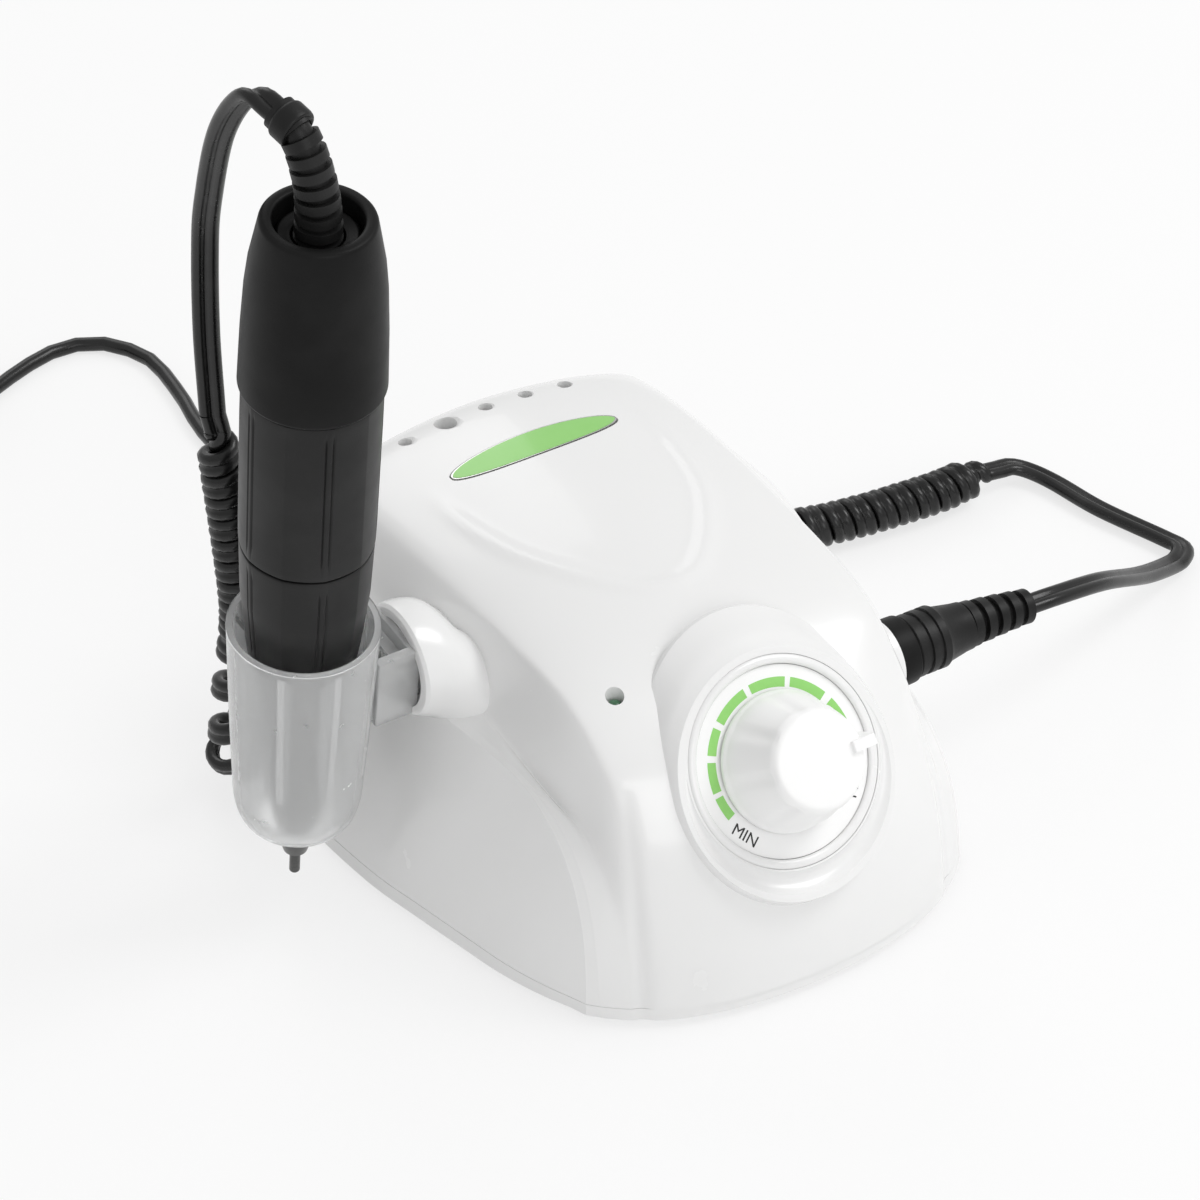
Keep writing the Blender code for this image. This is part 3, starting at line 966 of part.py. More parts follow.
collet = ring("collet", pin_bore, COLLET_RADIUS, NOSE_CAP_TOP + 2 * GAP, NOSE_SHOULDER, SMALL_SEGMENTS)
place("collet", collet, "steel", spindle)
pin_profile = [(0.0, SHANK_TIP), (SHANK_RADIUS * 0.7, SHANK_TIP),
               (SHANK_RADIUS, SHANK_TIP + SHANK_RADIUS / 2),
               (SHANK_RADIUS, SHANK_TIP + SHANK_HOLD), (0.0, SHANK_TIP + SHANK_HOLD)]
place("shank_pin", turned("shank_pin", pin_profile, SMALL_SEGMENTS), "steel", spindle)


def smooth_path(points, spacing):
    """Points a set spacing apart along the Catmull-Rom curve through points."""
    fine = []
    per_span = 40
    for k in range((len(points) - 1) * per_span + 1):
        fine.append(smooth_point(points, k / per_span))
    lengths = [0.0]
    for a, b in zip(fine, fine[1:]):
        lengths.append(lengths[-1] + (b - a).length)
    count = max(2, ceil(lengths[-1] / spacing))
    picked = []
    k = 0
    for i in range(count + 1):
        want = lengths[-1] * i / count
        while k < len(lengths) - 2 and lengths[k + 1] < want:
            k += 1
        share = (want - lengths[k]) / max(lengths[k + 1] - lengths[k], GAP / FAR)
        picked.append(fine[k].lerp(fine[k + 1], min(share, 1.0)))
    return picked


def path_frames(points):
    """Tangent and two carried-along side directions at each point."""
    tangents = []
    for k in range(len(points)):
        tangents.append((points[min(k + 1, len(points) - 1)] - points[max(k - 1, 0)]).normalized())
    side = tangents[0].orthogonal().normalized()
    frames = []
    for tangent in tangents:
        side = (side - tangent * side.dot(tangent)).normalized()
        frames.append((tangent, side, tangent.cross(side)))
    return frames


def route(shares):
    """Shares of the box's depth to points in the frame."""
    return [Vector(p) * BODY_DEPTH for p in shares]


def tube(name, points, radius, look):
    curve = bpy.data.curves.new(name, "CURVE")
    curve.dimensions = "3D"
    curve.bevel_depth = radius
    curve.bevel_resolution = 1
    curve.use_fill_caps = True
    spline = curve.splines.new("POLY")
    spline.points.add(len(points) - 1)
    for point, place_on in zip(spline.points, points):
        point.co = (*place_on, 1.0)
    return place(name, curve, look, frame)


def least_self_gap(points, radius, skip):
    """Least clear distance between parts of a wound tube more than skip points apart."""
    least = FAR
    for i in range(len(points)):
        for j in range(i + skip, len(points)):
            least = min(least, (points[i] - points[j]).length)
    return least - 2 * radius


# Handpiece cord, from the boot in the end disc to the plug in the box's right wall. Routes are shares of
# the box's depth; the boot's path is in the handpiece's own frame, in shares of its cap's height.
lead_route_shares = [
    (-0.5648, -0.0219, 1.4182), (-0.5807, 0.0345, 1.4255), (-0.5848, 0.1103, 1.3352),
    (-0.5697, 0.1931, 1.1779), (-0.5614, 0.2276, 1.0766), (-0.5579, 0.2455, 0.9310),
    (-0.5552, 0.2483, 0.7910)]
curl_route_shares = [
    (-0.5552, 0.2483, 0.7910), (-0.5510, 0.2483, 0.7428), (-0.5462, 0.2483, 0.6021),
    (-0.5414, 0.2483, 0.4572), (-0.5379, 0.2621, 0.3724), (-0.5297, 0.3069, 0.2345),
    (-0.5172, 0.3414, 0.1241), (-0.4897, 0.3931, 0.0538), (-0.4379, 0.4483, 0.0407),
    (-0.3724, 0.4966, 0.0407), (-0.2966, 0.5586, 0.0407), (-0.1931, 0.5931, 0.0407),
    (0.0000, 0.6069, 0.0407), (0.1931, 0.6000, 0.0407), (0.3172, 0.5655, 0.0407),
    (0.4207, 0.5069, 0.0407), (0.5103, 0.4483, 0.0407), (0.6021, 0.4103, 0.0407),
    (0.6855, 0.3931, 0.0407), (0.7593, 0.3848, 0.0407), (0.8359, 0.3793, 0.0407),
    (0.9103, 0.3828, 0.0407), (0.9621, 0.3862, 0.0317)]
plug_route_shares = [
    (0.9621, 0.3862, 0.0317), (0.9876, 0.3862, 0.0272), (1.0110, 0.3669, 0.0207),
    (1.0297, 0.3207, 0.0159), (1.0476, 0.2221, 0.0152), (1.0841, 0.1034, 0.0152),
    (1.0910, 0.0621, 0.0172), (1.0655, 0.0345, 0.0234), (1.0276, 0.0166, 0.0345),
    (0.9310, -0.0345, 0.0862), (0.7931, -0.1034, 0.1724), (0.6834, -0.1352, 0.2110),
    (0.6103, -0.1379, 0.2179)]
mains_route_shares = [
    (-0.0966, 0.4614, 0.1103), (-0.0966, 0.5214, 0.1103), (-0.0966, 0.6069, 0.1117),
    (-0.0938, 0.6759, 0.0910), (-0.0890, 0.7586, 0.0448), (-0.0862, 0.8414, 0.0159),
    (-0.0841, 0.9310, 0.0131), (-0.0800, 1.1034, 0.0131), (-0.0759, 1.2303, 0.0131),
    (-0.0559, 1.3400, 0.0131), (-0.0476, 1.4614, 0.0131), (-0.0834, 1.5393, 0.0131),
    (-0.1276, 1.5697, 0.0131), (-0.1931, 1.5710, 0.0131), (-0.2979, 1.5331, 0.0131),
    (-0.4000, 1.4800, 0.0131)]
tail_route_shares = [
    (0.0310, -0.0455, 0.0179), (-0.0069, -0.0634, 0.0483), (-0.0448, -0.0517, 0.1034),
    (-0.0759, -0.0310, 0.1448), (-0.1310, -0.0069, 0.1552), (-0.1862, 0.0138, 0.1414),
    (-0.2345, 0.0317, 0.1069), (-0.2759, 0.0476, 0.0897), (-0.3172, 0.0634, 0.0890)]
boot_route_shares = [
    (0.00000, 0.00000, 0.92150), (0.00000, 0.00000, 0.99061),
    (-0.00285, 0.00556, 1.05606), (-0.01125, 0.02250, 1.11962),
    (-0.02060, 0.04486, 1.16447), (-0.02805, 0.06735, 1.17938),
    (-0.03171, 0.08321, 1.18222)]

boot_points = smooth_path([Vector(p) * CAP_TOP for p in boot_route_shares], BOOT_RADIUS / 2.5)
boot_rings = []
for k, (point, axes) in enumerate(zip(boot_points, path_frames(boot_points))):
    share = k / (len(boot_points) - 1)
    radius = BOOT_RADIUS + (BOOT_END_RADIUS - BOOT_RADIUS) * share
    if share > 0.2 and sin(2 * pi * BOOT_RIBS * share) < 0.0:
        radius = radius * 0.82
    boot_rings.append([point + (axes[1] * cos(2 * pi * i / SMALL_SEGMENTS)
                                + axes[2] * sin(2 * pi * i / SMALL_SEGMENTS)) * radius
                       for i in range(SMALL_SEGMENTS)])
place("handpiece_boot", lofted("handpiece_boot", boot_rings), "rubber", hand)


def trimmed(points, start, end):
    """The path with its ends drawn back along themselves."""
    first = (points[1] - points[0]).normalized()
    last = (points[-2] - points[-1]).normalized()
    return [points[0] + first * start] + points[1:-1] + [points[-1] + last * end]


lead_points = trimmed(smooth_path(route(lead_route_shares), LEAD_RADIUS * 3), 2 * GAP, GAP)
tube("handpiece_lead", lead_points, LEAD_RADIUS, "rubber")

# The curl is tight where it shows and drawn out where it bends round the back of the box.
curl_path = smooth_path(route(curl_route_shares), CURL_PITCH / 16)
curl_axes = path_frames(curl_path)
curl_length = sum((b - a).length for a, b in zip(curl_path, curl_path[1:]))
centre_radius = CURL_RADIUS - CURL_TUBE_RADIUS
straight = 2 * CURL_TUBE_RADIUS
turn = 0.0
travel = 0.0
step_turn = 2 * pi / CURL_POINTS
next_turn = 0.0
curl_points = [curl_path[0]]
open_share = 0.0
for k in range(1, len(curl_path)):
    hidden = curl_path[k].z < EAR_Z and curl_path[k].x < BODY_WIDTH / 2
    open_share = min(1.0, max(0.0, open_share + (1.0 if hidden else -1.0) / 48))
    pitch = CURL_PITCH + (CURL_OPEN_PITCH - CURL_PITCH) * open_share
    step = (curl_path[k] - curl_path[k - 1]).length
    travel += step
    left = curl_length - travel
    if min(travel, left) > straight:
        turn += 2 * pi * step / pitch
    out = min(1.0, max(0.0, (min(travel, left) - straight) / CURL_RUN_OUT))
    radius = centre_radius * out * out * (3 - 2 * out)
    if turn >= next_turn or (out == 0.0 and k % 10 == 0):
        next_turn += step_turn
        tangent, side, up = curl_axes[k]
        curl_points.append(curl_path[k] + side * (radius * cos(turn)) + up * (radius * sin(turn)))
curl_points.append(curl_path[-1])
curl_points = trimmed(curl_points, 0.0, 0.0)
tube("handpiece_curl", curl_points, CURL_TUBE_RADIUS, "rubber")
print("curls", round(turn / (2 * pi), 1), "points", len(curl_points),
      "least gap", round(least_self_gap(curl_points, CURL_TUBE_RADIUS, 6) * 1000, 2), "mm")

plug_points = trimmed(smooth_path(route(plug_route_shares), LEAD_RADIUS * 3), 2 * GAP, 2 * GAP)
tube("plug_lead", plug_points, LEAD_RADIUS, "rubber")

# Plug: nose in the socket, ribbed collar, taper and strain relief, as (share along, share of radius).
plug_shares = [(0.0, 0.60), (0.008, 0.648), (0.235, 0.648), (0.236, 0.93), (0.25, 1.0), (0.29, 1.0),
               (0.295, 0.93), (0.315, 0.93), (0.32, 1.0), (0.36, 1.0), (0.365, 0.93), (0.385, 0.93),
               (0.39, 1.0), (0.43, 1.0), (0.46, 0.90), (0.58, 0.78), (0.62, 0.76), (0.625, 0.58),
               (0.675, 0.57), (0.68, 0.73), (0.73, 0.71), (0.735, 0.55), (0.785, 0.54), (0.79, 0.67),
               (0.84, 0.65), (0.845, 0.52), (0.895, 0.51), (0.90, 0.62), (0.96, 0.59), (1.0, 0.50)]
plug_start = SOCKET_BACK + OVERRUN + 4 * GAP
plug_reach = plug_route_shares[-1][0] * BODY_DEPTH
plug_drop = SOCKET_Z - plug_route_shares[-1][2] * BODY_DEPTH
plug_rings = []
for along, share in plug_shares:
    x = plug_start + (plug_reach - plug_start) * along
    sag = plug_drop * max(0.0, (along - 0.3) / 0.7) ** 2
    plug_rings.append([(x, SOCKET_Y + PLUG_RADIUS * share * cos(2 * pi * i / SMALL_SEGMENTS),
                        SOCKET_Z - sag + PLUG_RADIUS * share * sin(2 * pi * i / SMALL_SEGMENTS))
                       for i in range(SMALL_SEGMENTS)])
place("handpiece_plug", lofted("handpiece_plug", plug_rings), "rubber", frame)
socket_in = PLUG_NOSE_RADIUS + GAP
socket_profile = [(0.0, SOCKET_BACK), (SOCKET_RADIUS, SOCKET_BACK), (SOCKET_RADIUS, SOCKET_FACE + GAP),
                  (SOCKET_FLANGE_RADIUS, SOCKET_FACE + GAP),
                  (SOCKET_FLANGE_RADIUS, SOCKET_FACE + FLANGE_THICKNESS),
                  (socket_in, SOCKET_FACE + FLANGE_THICKNESS), (socket_in, SOCKET_BACK + OVERRUN),
                  (0.0, SOCKET_BACK + OVERRUN)]
socket_mesh = moved(turned("handpiece_socket", socket_profile, SMALL_SEGMENTS * 2), ALONG_X)
place("handpiece_socket", socket_mesh, "black", frame, (0.0, SOCKET_Y, SOCKET_Z))

# Mains lead out of the gland, its wound coil in two layers, and its plug
mains_points = smooth_path(route(mains_route_shares), MAINS_RADIUS * 5)
coil_middle = Vector((COIL_X, COIL_Y, MAINS_RADIUS + GAP / 3))
coil_points = []
start_turn = -0.2
total_turns = 2 * COIL_TURNS + 0.5 + 0.35
for k in range(int(total_turns * COIL_POINTS) + 1):
    t = k / COIL_POINTS
    across = min(1.0, max(0.0, (t - COIL_TURNS) / 0.5))
    inward = max(0.0, (t - 2 * COIL_TURNS - 0.5) / 0.35)
    radius = COIL_RADIUS - COIL_STEP * across - COIL_STEP * 1.8 * inward
    rise = COIL_PITCH * min(t, COIL_TURNS) - COIL_PITCH * max(0.0, min(t - 0.5, 2 * COIL_TURNS) - COIL_TURNS)
    angle = 2 * pi * (start_turn - t)
    coil_points.append(coil_middle + Vector((radius * cos(angle), radius * sin(angle), rise)))
tail = [Vector((p.x, p.y, 0.0)) + Vector((COIL_X, COIL_Y, p.z)) for p in route(tail_route_shares)]
tail_points = smooth_path([coil_points[-1]] + tail, MAINS_RADIUS * 3)
coil_points = coil_points + tail_points[1:]
mains_points = smooth_path(route(mains_route_shares) + [coil_points[0]], MAINS_RADIUS * 5)
tube("mains_lead", trimmed(mains_points, 0.0, GAP), MAINS_RADIUS, "rubber")
tube("mains_coil", trimmed(coil_points, 0.0, GAP), MAINS_RADIUS, "rubber")
print("coil points", len(coil_points), "least gap",
      round(least_self_gap(coil_points, MAINS_RADIUS, 8) * 1000, 2), "mm")
mains_plug_shares = [(0.0, 0.0), (0.27, 0.0), (0.34, 0.2), (0.85, 0.42), (1.0, 0.55), (1.0, 0.97),
                     (0.97, 1.0), (0.0, 1.0)]
mains_plug_profile = [(r * MAINS_PLUG_RADIUS, h * MAINS_PLUG_LENGTH) for r, h in mains_plug_shares]
heading = (coil_points[-1] - coil_points[-2]).normalized()
heading.z = 0.0
plug_turn = Vector((0.0, 0.0, 1.0)).rotation_difference(heading).to_euler()
mains_plug_mesh = turned("mains_plug", mains_plug_profile, SMALL_SEGMENTS + 4)
mains_plug = place("mains_plug", mains_plug_mesh, "rubber", frame, coil_points[-1], plug_turn)
for side in (-1, 1):
    pin = disc("mains_pin", PIN_RADIUS, MAINS_PLUG_LENGTH - OVERRUN, MAINS_PLUG_LENGTH + PIN_LENGTH)
    pin = moved(pin, Matrix.Translation((0.0, side * PIN_SPACING / 2, 0.0)))
    combine(mains_plug, cutter("mains_pin", pin, frame, coil_points[-1], plug_turn), "UNION")
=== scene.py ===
from math import ceil, cos, pi, radians, sin, sqrt

import bmesh
import bpy
import numpy as np
from mathutils import Matrix, Vector
from mathutils.bvhtree import BVHTree


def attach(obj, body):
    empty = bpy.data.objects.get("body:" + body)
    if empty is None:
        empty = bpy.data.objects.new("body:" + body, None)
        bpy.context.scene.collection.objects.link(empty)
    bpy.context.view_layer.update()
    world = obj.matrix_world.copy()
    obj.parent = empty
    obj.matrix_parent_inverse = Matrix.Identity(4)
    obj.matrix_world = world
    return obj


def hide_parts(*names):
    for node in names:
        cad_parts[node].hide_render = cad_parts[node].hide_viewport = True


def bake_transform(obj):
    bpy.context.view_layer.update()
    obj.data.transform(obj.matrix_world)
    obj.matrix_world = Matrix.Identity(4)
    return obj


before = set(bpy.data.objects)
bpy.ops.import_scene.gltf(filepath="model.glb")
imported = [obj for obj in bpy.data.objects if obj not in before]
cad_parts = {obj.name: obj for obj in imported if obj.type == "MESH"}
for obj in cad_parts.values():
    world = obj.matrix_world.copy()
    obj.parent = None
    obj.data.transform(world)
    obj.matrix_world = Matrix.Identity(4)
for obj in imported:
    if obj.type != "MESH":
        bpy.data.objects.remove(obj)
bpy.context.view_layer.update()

# Camera: the photograph looks down on the front left of the set from well back, with a long lens. Here and
# in each section, places are measured in metres from the control box's middle on the table, with X to the
# right of the dial's user, -Y to the front and Z up, and then moved to BOX_MIDDLE.
BOX_MIDDLE = Vector((0.0147, -0.0002, 0.0))
look_at = Vector((-0.0155, -0.0245, 0.047)) + BOX_MIDDLE
stand_at = Vector((-0.4673, -0.7202, 0.6951)) + BOX_MIDDLE
camera_data = bpy.data.cameras.new("photo_camera")
camera_data.lens = 150.0
camera_data.sensor_width = 36.0
camera_data.shift_x = -0.0333
camera_data.shift_y = 0.1
camera = bpy.data.objects.new("photo_camera", camera_data)
bpy.context.scene.collection.objects.link(camera)
camera.location = stand_at
camera.rotation_euler = (look_at - stand_at).to_track_quat("-Z", "Y").to_euler()
camera_data.clip_end = 20.0
bpy.context.scene.camera = camera


# Cords. The handpiece's lead and the plug's lead are a flat pair of black rubber covered strands, moulded
# side by side; in the middle the pair is wound into a tight curl. The mains lead is round. Materials are
# written as expressions: a Value is one socket, and arithmetic on it adds Math nodes.
class Value:
    def __init__(self, finish, socket):
        self.finish = finish
        self.socket = socket

    def maths(self, operation, first, second=None):
        sockets = {0: first} if second is None else {0: first, 1: second}
        return self.finish.node("ShaderNodeMath", {"operation": operation}, sockets)

    def __add__(self, other):
        return self.maths("ADD", self, other)

    def __mul__(self, other):
        return self.maths("MULTIPLY", self, other)

    def abs(self):
        return self.maths("ABSOLUTE", self)

    def sine(self):
        return self.maths("SINE", self)

    def smooth(self, low, high):
        ends = {0: self, 1: low, 2: high, 3: 0.0, 4: 1.0}
        return self.finish.node("ShaderNodeMapRange", {"interpolation_type": "SMOOTHSTEP"}, ends)

    __radd__ = __add__
    __rmul__ = __mul__


class Finish:
    """One material: its Principled shader, and the nodes that feed it."""

    def __init__(self, name, color, roughness, metallic=0.0, **fixed):
        self.material = bpy.data.materials.new(name)
        self.material.use_nodes = True
        self.tree = self.material.node_tree
        self.shader = self.tree.nodes["Principled BSDF"]
        self.places = self.node("ShaderNodeTexCoord", output="Object")
        self.set("Base Color", (*color, 1.0))
        self.set("Roughness", roughness)
        self.set("Metallic", metallic)
        for key, value in fixed.items():
            self.set(key.replace("_", " ").title().replace("Ior", "IOR"), value)

    def feed(self, socket, value):
        if isinstance(value, Value):
            self.tree.links.new(value.socket, socket)
        else:
            socket.default_value = value

    def set(self, name, value):
        self.feed(self.shader.inputs[name], value)

    def node(self, kind, settings=None, sockets=None, output=0):
        made = self.tree.nodes.new(kind)
        for key, value in (settings or {}).items():
            setattr(made, key, value)
        for key, value in (sockets or {}).items():
            self.feed(made.inputs[key], value)
        return Value(self, made.outputs[output])

    def noise(self, size, detail, places=None):
        """Cloudy noise from 0 to 1 whose grain has a real size in metres."""
        sockets = {"Vector": places or self.places, "Scale": 1.0 / size, "Detail": detail}
        return self.node("ShaderNodeTexNoise", sockets=sockets)

    def stretched(self, scale):
        """The places, along which a pattern comes out as many times longer."""
        return self.node("ShaderNodeMapping", {"vector_type": "TEXTURE"},
                         {"Vector": self.places, "Scale": scale})

    def tint(self, share, first, second):
        """Base colour between two colours."""
        sockets = {0: share, 6: (*first, 1.0), 7: (*second, 1.0)}
        self.set("Base Color", self.node("ShaderNodeMix", {"data_type": "RGBA"}, sockets, 2))

    def relief(self, height, depth):
        """Bump of a height from 0 to 1 that stands for a real depth in metres."""
        self.set("Normal", self.node("ShaderNodeBump", sockets={"Distance": depth, "Height": height}))


def smooth_point(points, t):
    """The Catmull-Rom curve through points, at point number t."""
    span = min(int(t), len(points) - 2)
    u = t - span
    p1, p2 = points[span], points[span + 1]
    p0 = points[span - 1] if span > 0 else p1 * 2 - p2
    p3 = points[span + 2] if span + 2 < len(points) else p2 * 2 - p1
    return ((p1 * 2) + (p2 - p0) * u + (p0 * 2 - p1 * 5 + p2 * 4 - p3) * u * u
            + (p1 * 3 - p0 - p2 * 3 + p3) * u * u * u) * 0.5


def fine_points(points, steps):
    """Points of that curve, as many steps apart from each given point to the next."""
    return [smooth_point(points, k / steps) for k in range((len(points) - 1) * steps + 1)]


PATH_STEPS = 40


def smooth_path(points, spacing):
    """Points of that curve a set spacing apart."""
    fine = fine_points(points, PATH_STEPS)
    run = np.concatenate([[0.0], np.cumsum([(b - a).length for a, b in zip(fine, fine[1:])])])
    wanted = np.linspace(0.0, run[-1], max(2, ceil(run[-1] / spacing)) + 1)
    even = np.stack([np.interp(wanted, run, [p[i] for p in fine]) for i in range(3)], axis=1)
    return [Vector(p) for p in even]


def path_frames(points, side):
    """Tangent and two carried-along side directions at each point."""
    frames = []
    for k in range(len(points)):
        tangent = (points[min(k + 1, len(points) - 1)] - points[max(k - 1, 0)]).normalized()
        side = (side - tangent * side.dot(tangent)).normalized()
        frames.append((tangent, side, tangent.cross(side)))
    return frames


def link(name, mesh, finish=None):
    """An object of the mesh or curve in the scene, with its finish where it has none yet."""
    piece = bpy.data.objects.new(name, mesh)
    bpy.context.scene.collection.objects.link(piece)
    if finish:
        mesh.materials.append(finish.material)
    return piece


def smoothed(mesh, angle=32.0):
    """The mesh shaded smooth but for edges sharper than the angle."""
    mesh.shade_smooth()
    mesh.set_sharp_from_angle(angle=radians(angle))
    return mesh


def shaded(bm, name, angle=32.0):
    """A mesh with its faces outwards, shaded smooth."""
    bmesh.ops.recalc_face_normals(bm, faces=bm.faces)
    mesh = bpy.data.meshes.new(name)
    bm.to_mesh(mesh)
    bm.free()
    return smoothed(mesh, angle)


def lofted(name, rings, angle=32.0):
    """Closed rings of equal length joined side by side, with both ends filled."""
    bm = bmesh.new()
    made = [[bm.verts.new(p) for p in ring] for ring in rings]
    count = len(made[0])
    for low, high in zip(made, made[1:]):
        for k in range(count):
            n = (k + 1) % count
            bm.faces.new([low[k], low[n], high[n], high[k]])
    bm.faces.new(list(reversed(made[0])))
    bm.faces.new(made[-1])
    return shaded(bm, name, angle)


STRAND_RADIUS = 0.00145
STRAND_OFFSET = 0.00135
STRAND_STEPS = 6
# Each strand's round stops this far before the other strand, and a web fills the rest.
WEB_ANGLE = 0.55


def pair_section():
    """Outline of the two strands side by side, as (across, thick) points."""
    half = []
    for k in range(-STRAND_STEPS, STRAND_STEPS + 1):
        turn = (pi - WEB_ANGLE) * k / STRAND_STEPS
        half.append((STRAND_OFFSET + STRAND_RADIUS * cos(turn), STRAND_RADIUS * sin(turn)))
    return half + [(-x, -y) for x, y in half]


def pair_tube(name, points, widths, finish):
    """The pair swept along points; widths gives its direction across at each point."""
    rings = []
    section = pair_section()
    for k, (point, across) in enumerate(zip(points, widths)):
        tangent = (points[min(k + 1, len(points) - 1)] - points[max(k - 1, 0)]).normalized()
        across = (across - tangent * across.dot(tangent)).normalized()
        thick = tangent.cross(across)
        rings.append([point + across * a + thick * b for a, b in section])
    return link(name, lofted(name, rings, angle=60.0), finish)


cord_rubber = Finish("cord_rubber", (0.006, 0.006, 0.006), 0.30, specular_ior_level=0.42)
scuffs = cord_rubber.noise(0.011, 4.0).smooth(0.45, 0.75)
cord_rubber.tint(scuffs, (0.005, 0.005, 0.005), (0.014, 0.014, 0.014))
cord_rubber.set("Roughness", 0.20 + cord_rubber.noise(0.004, 3.0) * 0.18)
cord_rubber.relief(cord_rubber.noise(0.0006, 2.0), 0.00002)


def route(points_mm):
    return [Vector(p) / 1000 + BOX_MIDDLE for p in points_mm]


def cord_length(points):
    return sum((b - a).length for a, b in zip(points, points[1:]))


# Upper lead: out of the boot, over in a narrow bend and down behind the handpiece. It crosses two joints,
# lifting the handpiece and tilting its stand, and is made in two lengths.
lead_route = route([(-81.9, -3.18, 205.64), (-84.2, 5.0, 206.7), (-84.8, 16.0, 193.6),
                    (-82.6, 28.0, 170.8), (-81.4, 33.0, 156.1), (-80.9, 35.6, 135.0),
                    (-80.5, 36.0, 114.7)])
PARTED_AT = 3
LEAD_SPACING = 0.0015
lead_points = smooth_path(lead_route, LEAD_SPACING)
# The pair hangs with its flat side to the front left.
LEAD_SIDE = Vector((0.8387, -0.5446, 0.0))
parted = min(range(len(lead_points)), key=lambda k: (lead_points[k] - lead_route[PARTED_AT]).length)
upper_points = lead_points[:parted + 1]
lower_points = lead_points[parted:]
upper_lead = pair_tube("lead_from_boot", upper_points, [LEAD_SIDE] * len(upper_points), cord_rubber)
lower_lead = pair_tube("lead_behind_handpiece", lower_points, [LEAD_SIDE] * len(lower_points), cord_rubber)
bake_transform(upper_lead)
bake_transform(lower_lead)
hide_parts("handpiece_lead")
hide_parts("handpiece_lead")
cord_length(upper_points)
cord_length(lower_points)

# Curl: the same pair wound on a rod and set by heat, hanging behind the handpiece, then lying round the
# back of the box and out to the right. Its turns stand open where it is drawn round the back.
curl_route = route([(-80.5, 36.0, 114.7), (-79.4, 36.0, 107.7), (-77.6, 36.0, 87.3), (-76.2, 36.2, 66.3),
                    (-75.6, 38.6, 54.0), (-74.6, 45.5, 34.0), (-73.6, 50.5, 18.0), (-70.6, 57.5, 7.8),
                    (-63.5, 65.0, 5.9), (-54.0, 72.0, 5.9), (-43.0, 81.0, 5.9), (-28.0, 86.0, 5.9),
                    (0.0, 88.0, 5.9), (28.0, 87.0, 5.9), (46.0, 82.0, 5.9), (61.0, 73.5, 5.9),
                    (74.0, 65.0, 5.9), (87.3, 59.5, 5.9), (99.4, 57.0, 5.9), (110.1, 55.8, 5.9),
                    (121.2, 55.0, 5.9), (132.0, 55.5, 5.9), (139.5, 56.0, 4.6)])
CURL_PITCH = 0.0056
CURL_OPEN_PITCH = 0.0160
CURL_RADIUS = 0.0052
CURL_RUN_OUT = 0.0090
CURL_STRAIGHT = 0.0040
OPEN_BELOW = 0.0585
OPEN_LEFT_OF = 0.0665
# Path points to a tight turn, path points over which the turns open, rings of the tube to a turn, and path
# points to a ring where the pair runs straight.
TURN_STEPS = 48
OPENING_STEPS = 3 * TURN_STEPS
TURN_RINGS = 22
STRAIGHT_STEPS = 8
# The pair has turned its flat side to the curl's axis in this part of its way out to the full radius.
TWIST_SHARE = 0.4
curl_path = smooth_path(curl_route, CURL_PITCH / TURN_STEPS)
curl_axes = path_frames(curl_path, LEAD_SIDE)
curl_run = cord_length(curl_path)
turn = travel = open_share = next_turn = 0.0
curl_points = [curl_path[0]]
curl_across = [LEAD_SIDE]
for k in range(1, len(curl_path)):
    hidden = curl_path[k].z < OPEN_BELOW and curl_path[k].x - BOX_MIDDLE.x < OPEN_LEFT_OF
    open_share = min(1.0, max(0.0, open_share + (1.0 if hidden else -1.0) / OPENING_STEPS))
    step = (curl_path[k] - curl_path[k - 1]).length
    travel += step
    room = min(travel, curl_run - travel)
    if room > CURL_STRAIGHT:
        turn += 2 * pi * step / (CURL_PITCH + (CURL_OPEN_PITCH - CURL_PITCH) * open_share)
    out = min(1.0, max(0.0, (room - CURL_STRAIGHT) / CURL_RUN_OUT))
    if turn >= next_turn or (out == 0.0 and k % STRAIGHT_STEPS == 0):
        next_turn = turn + 2 * pi / TURN_RINGS
        tangent, side, up = curl_axes[k]
        away = side * cos(turn) + up * sin(turn)
        reach = (CURL_RADIUS - STRAND_RADIUS) * out * out * (3 - 2 * out)
        curl_points.append(curl_path[k] + away * reach)
        share = min(1.0, out / TWIST_SHARE)
        curl_across.append((side * (1.0 - share) + tangent * share).normalized())
curl_points.append(curl_path[-1])
curl_across.append(curl_axes[-1][1])
curl = pair_tube("curly_lead", curl_points, curl_across, cord_rubber)
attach(curl, "box")
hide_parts("handpiece_curl")
cord_length(curl_points)

# Lead to the plug: the last stretch of the same rubber pair. It lies on the table, turns back and rises into
# the plug's strain relief.
plug_route = route([(139.5, 56.0, 4.6), (143.2, 56.0, 3.95), (146.6, 53.2, 3.0), (149.3, 46.5, 2.4),
                    (151.9, 32.2, 2.3), (157.2, 15.0, 2.3), (158.2, 9.0, 2.6), (154.5, 5.0, 3.4),
                    (149.0, 2.4, 5.0), (135.0, -5.0, 12.5), (115.0, -15.0, 25.0), (99.1, -19.6, 30.6),
                    (88.5, -20.0, 31.6)])
plug_points = smooth_path(plug_route, LEAD_SPACING)
plug_widths = [side for _, side, _ in path_frames(plug_points, curl_axes[-1][1])]
plug_lead = pair_tube("lead_to_plug", plug_points, plug_widths, cord_rubber)
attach(plug_lead, "box")
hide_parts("plug_lead")


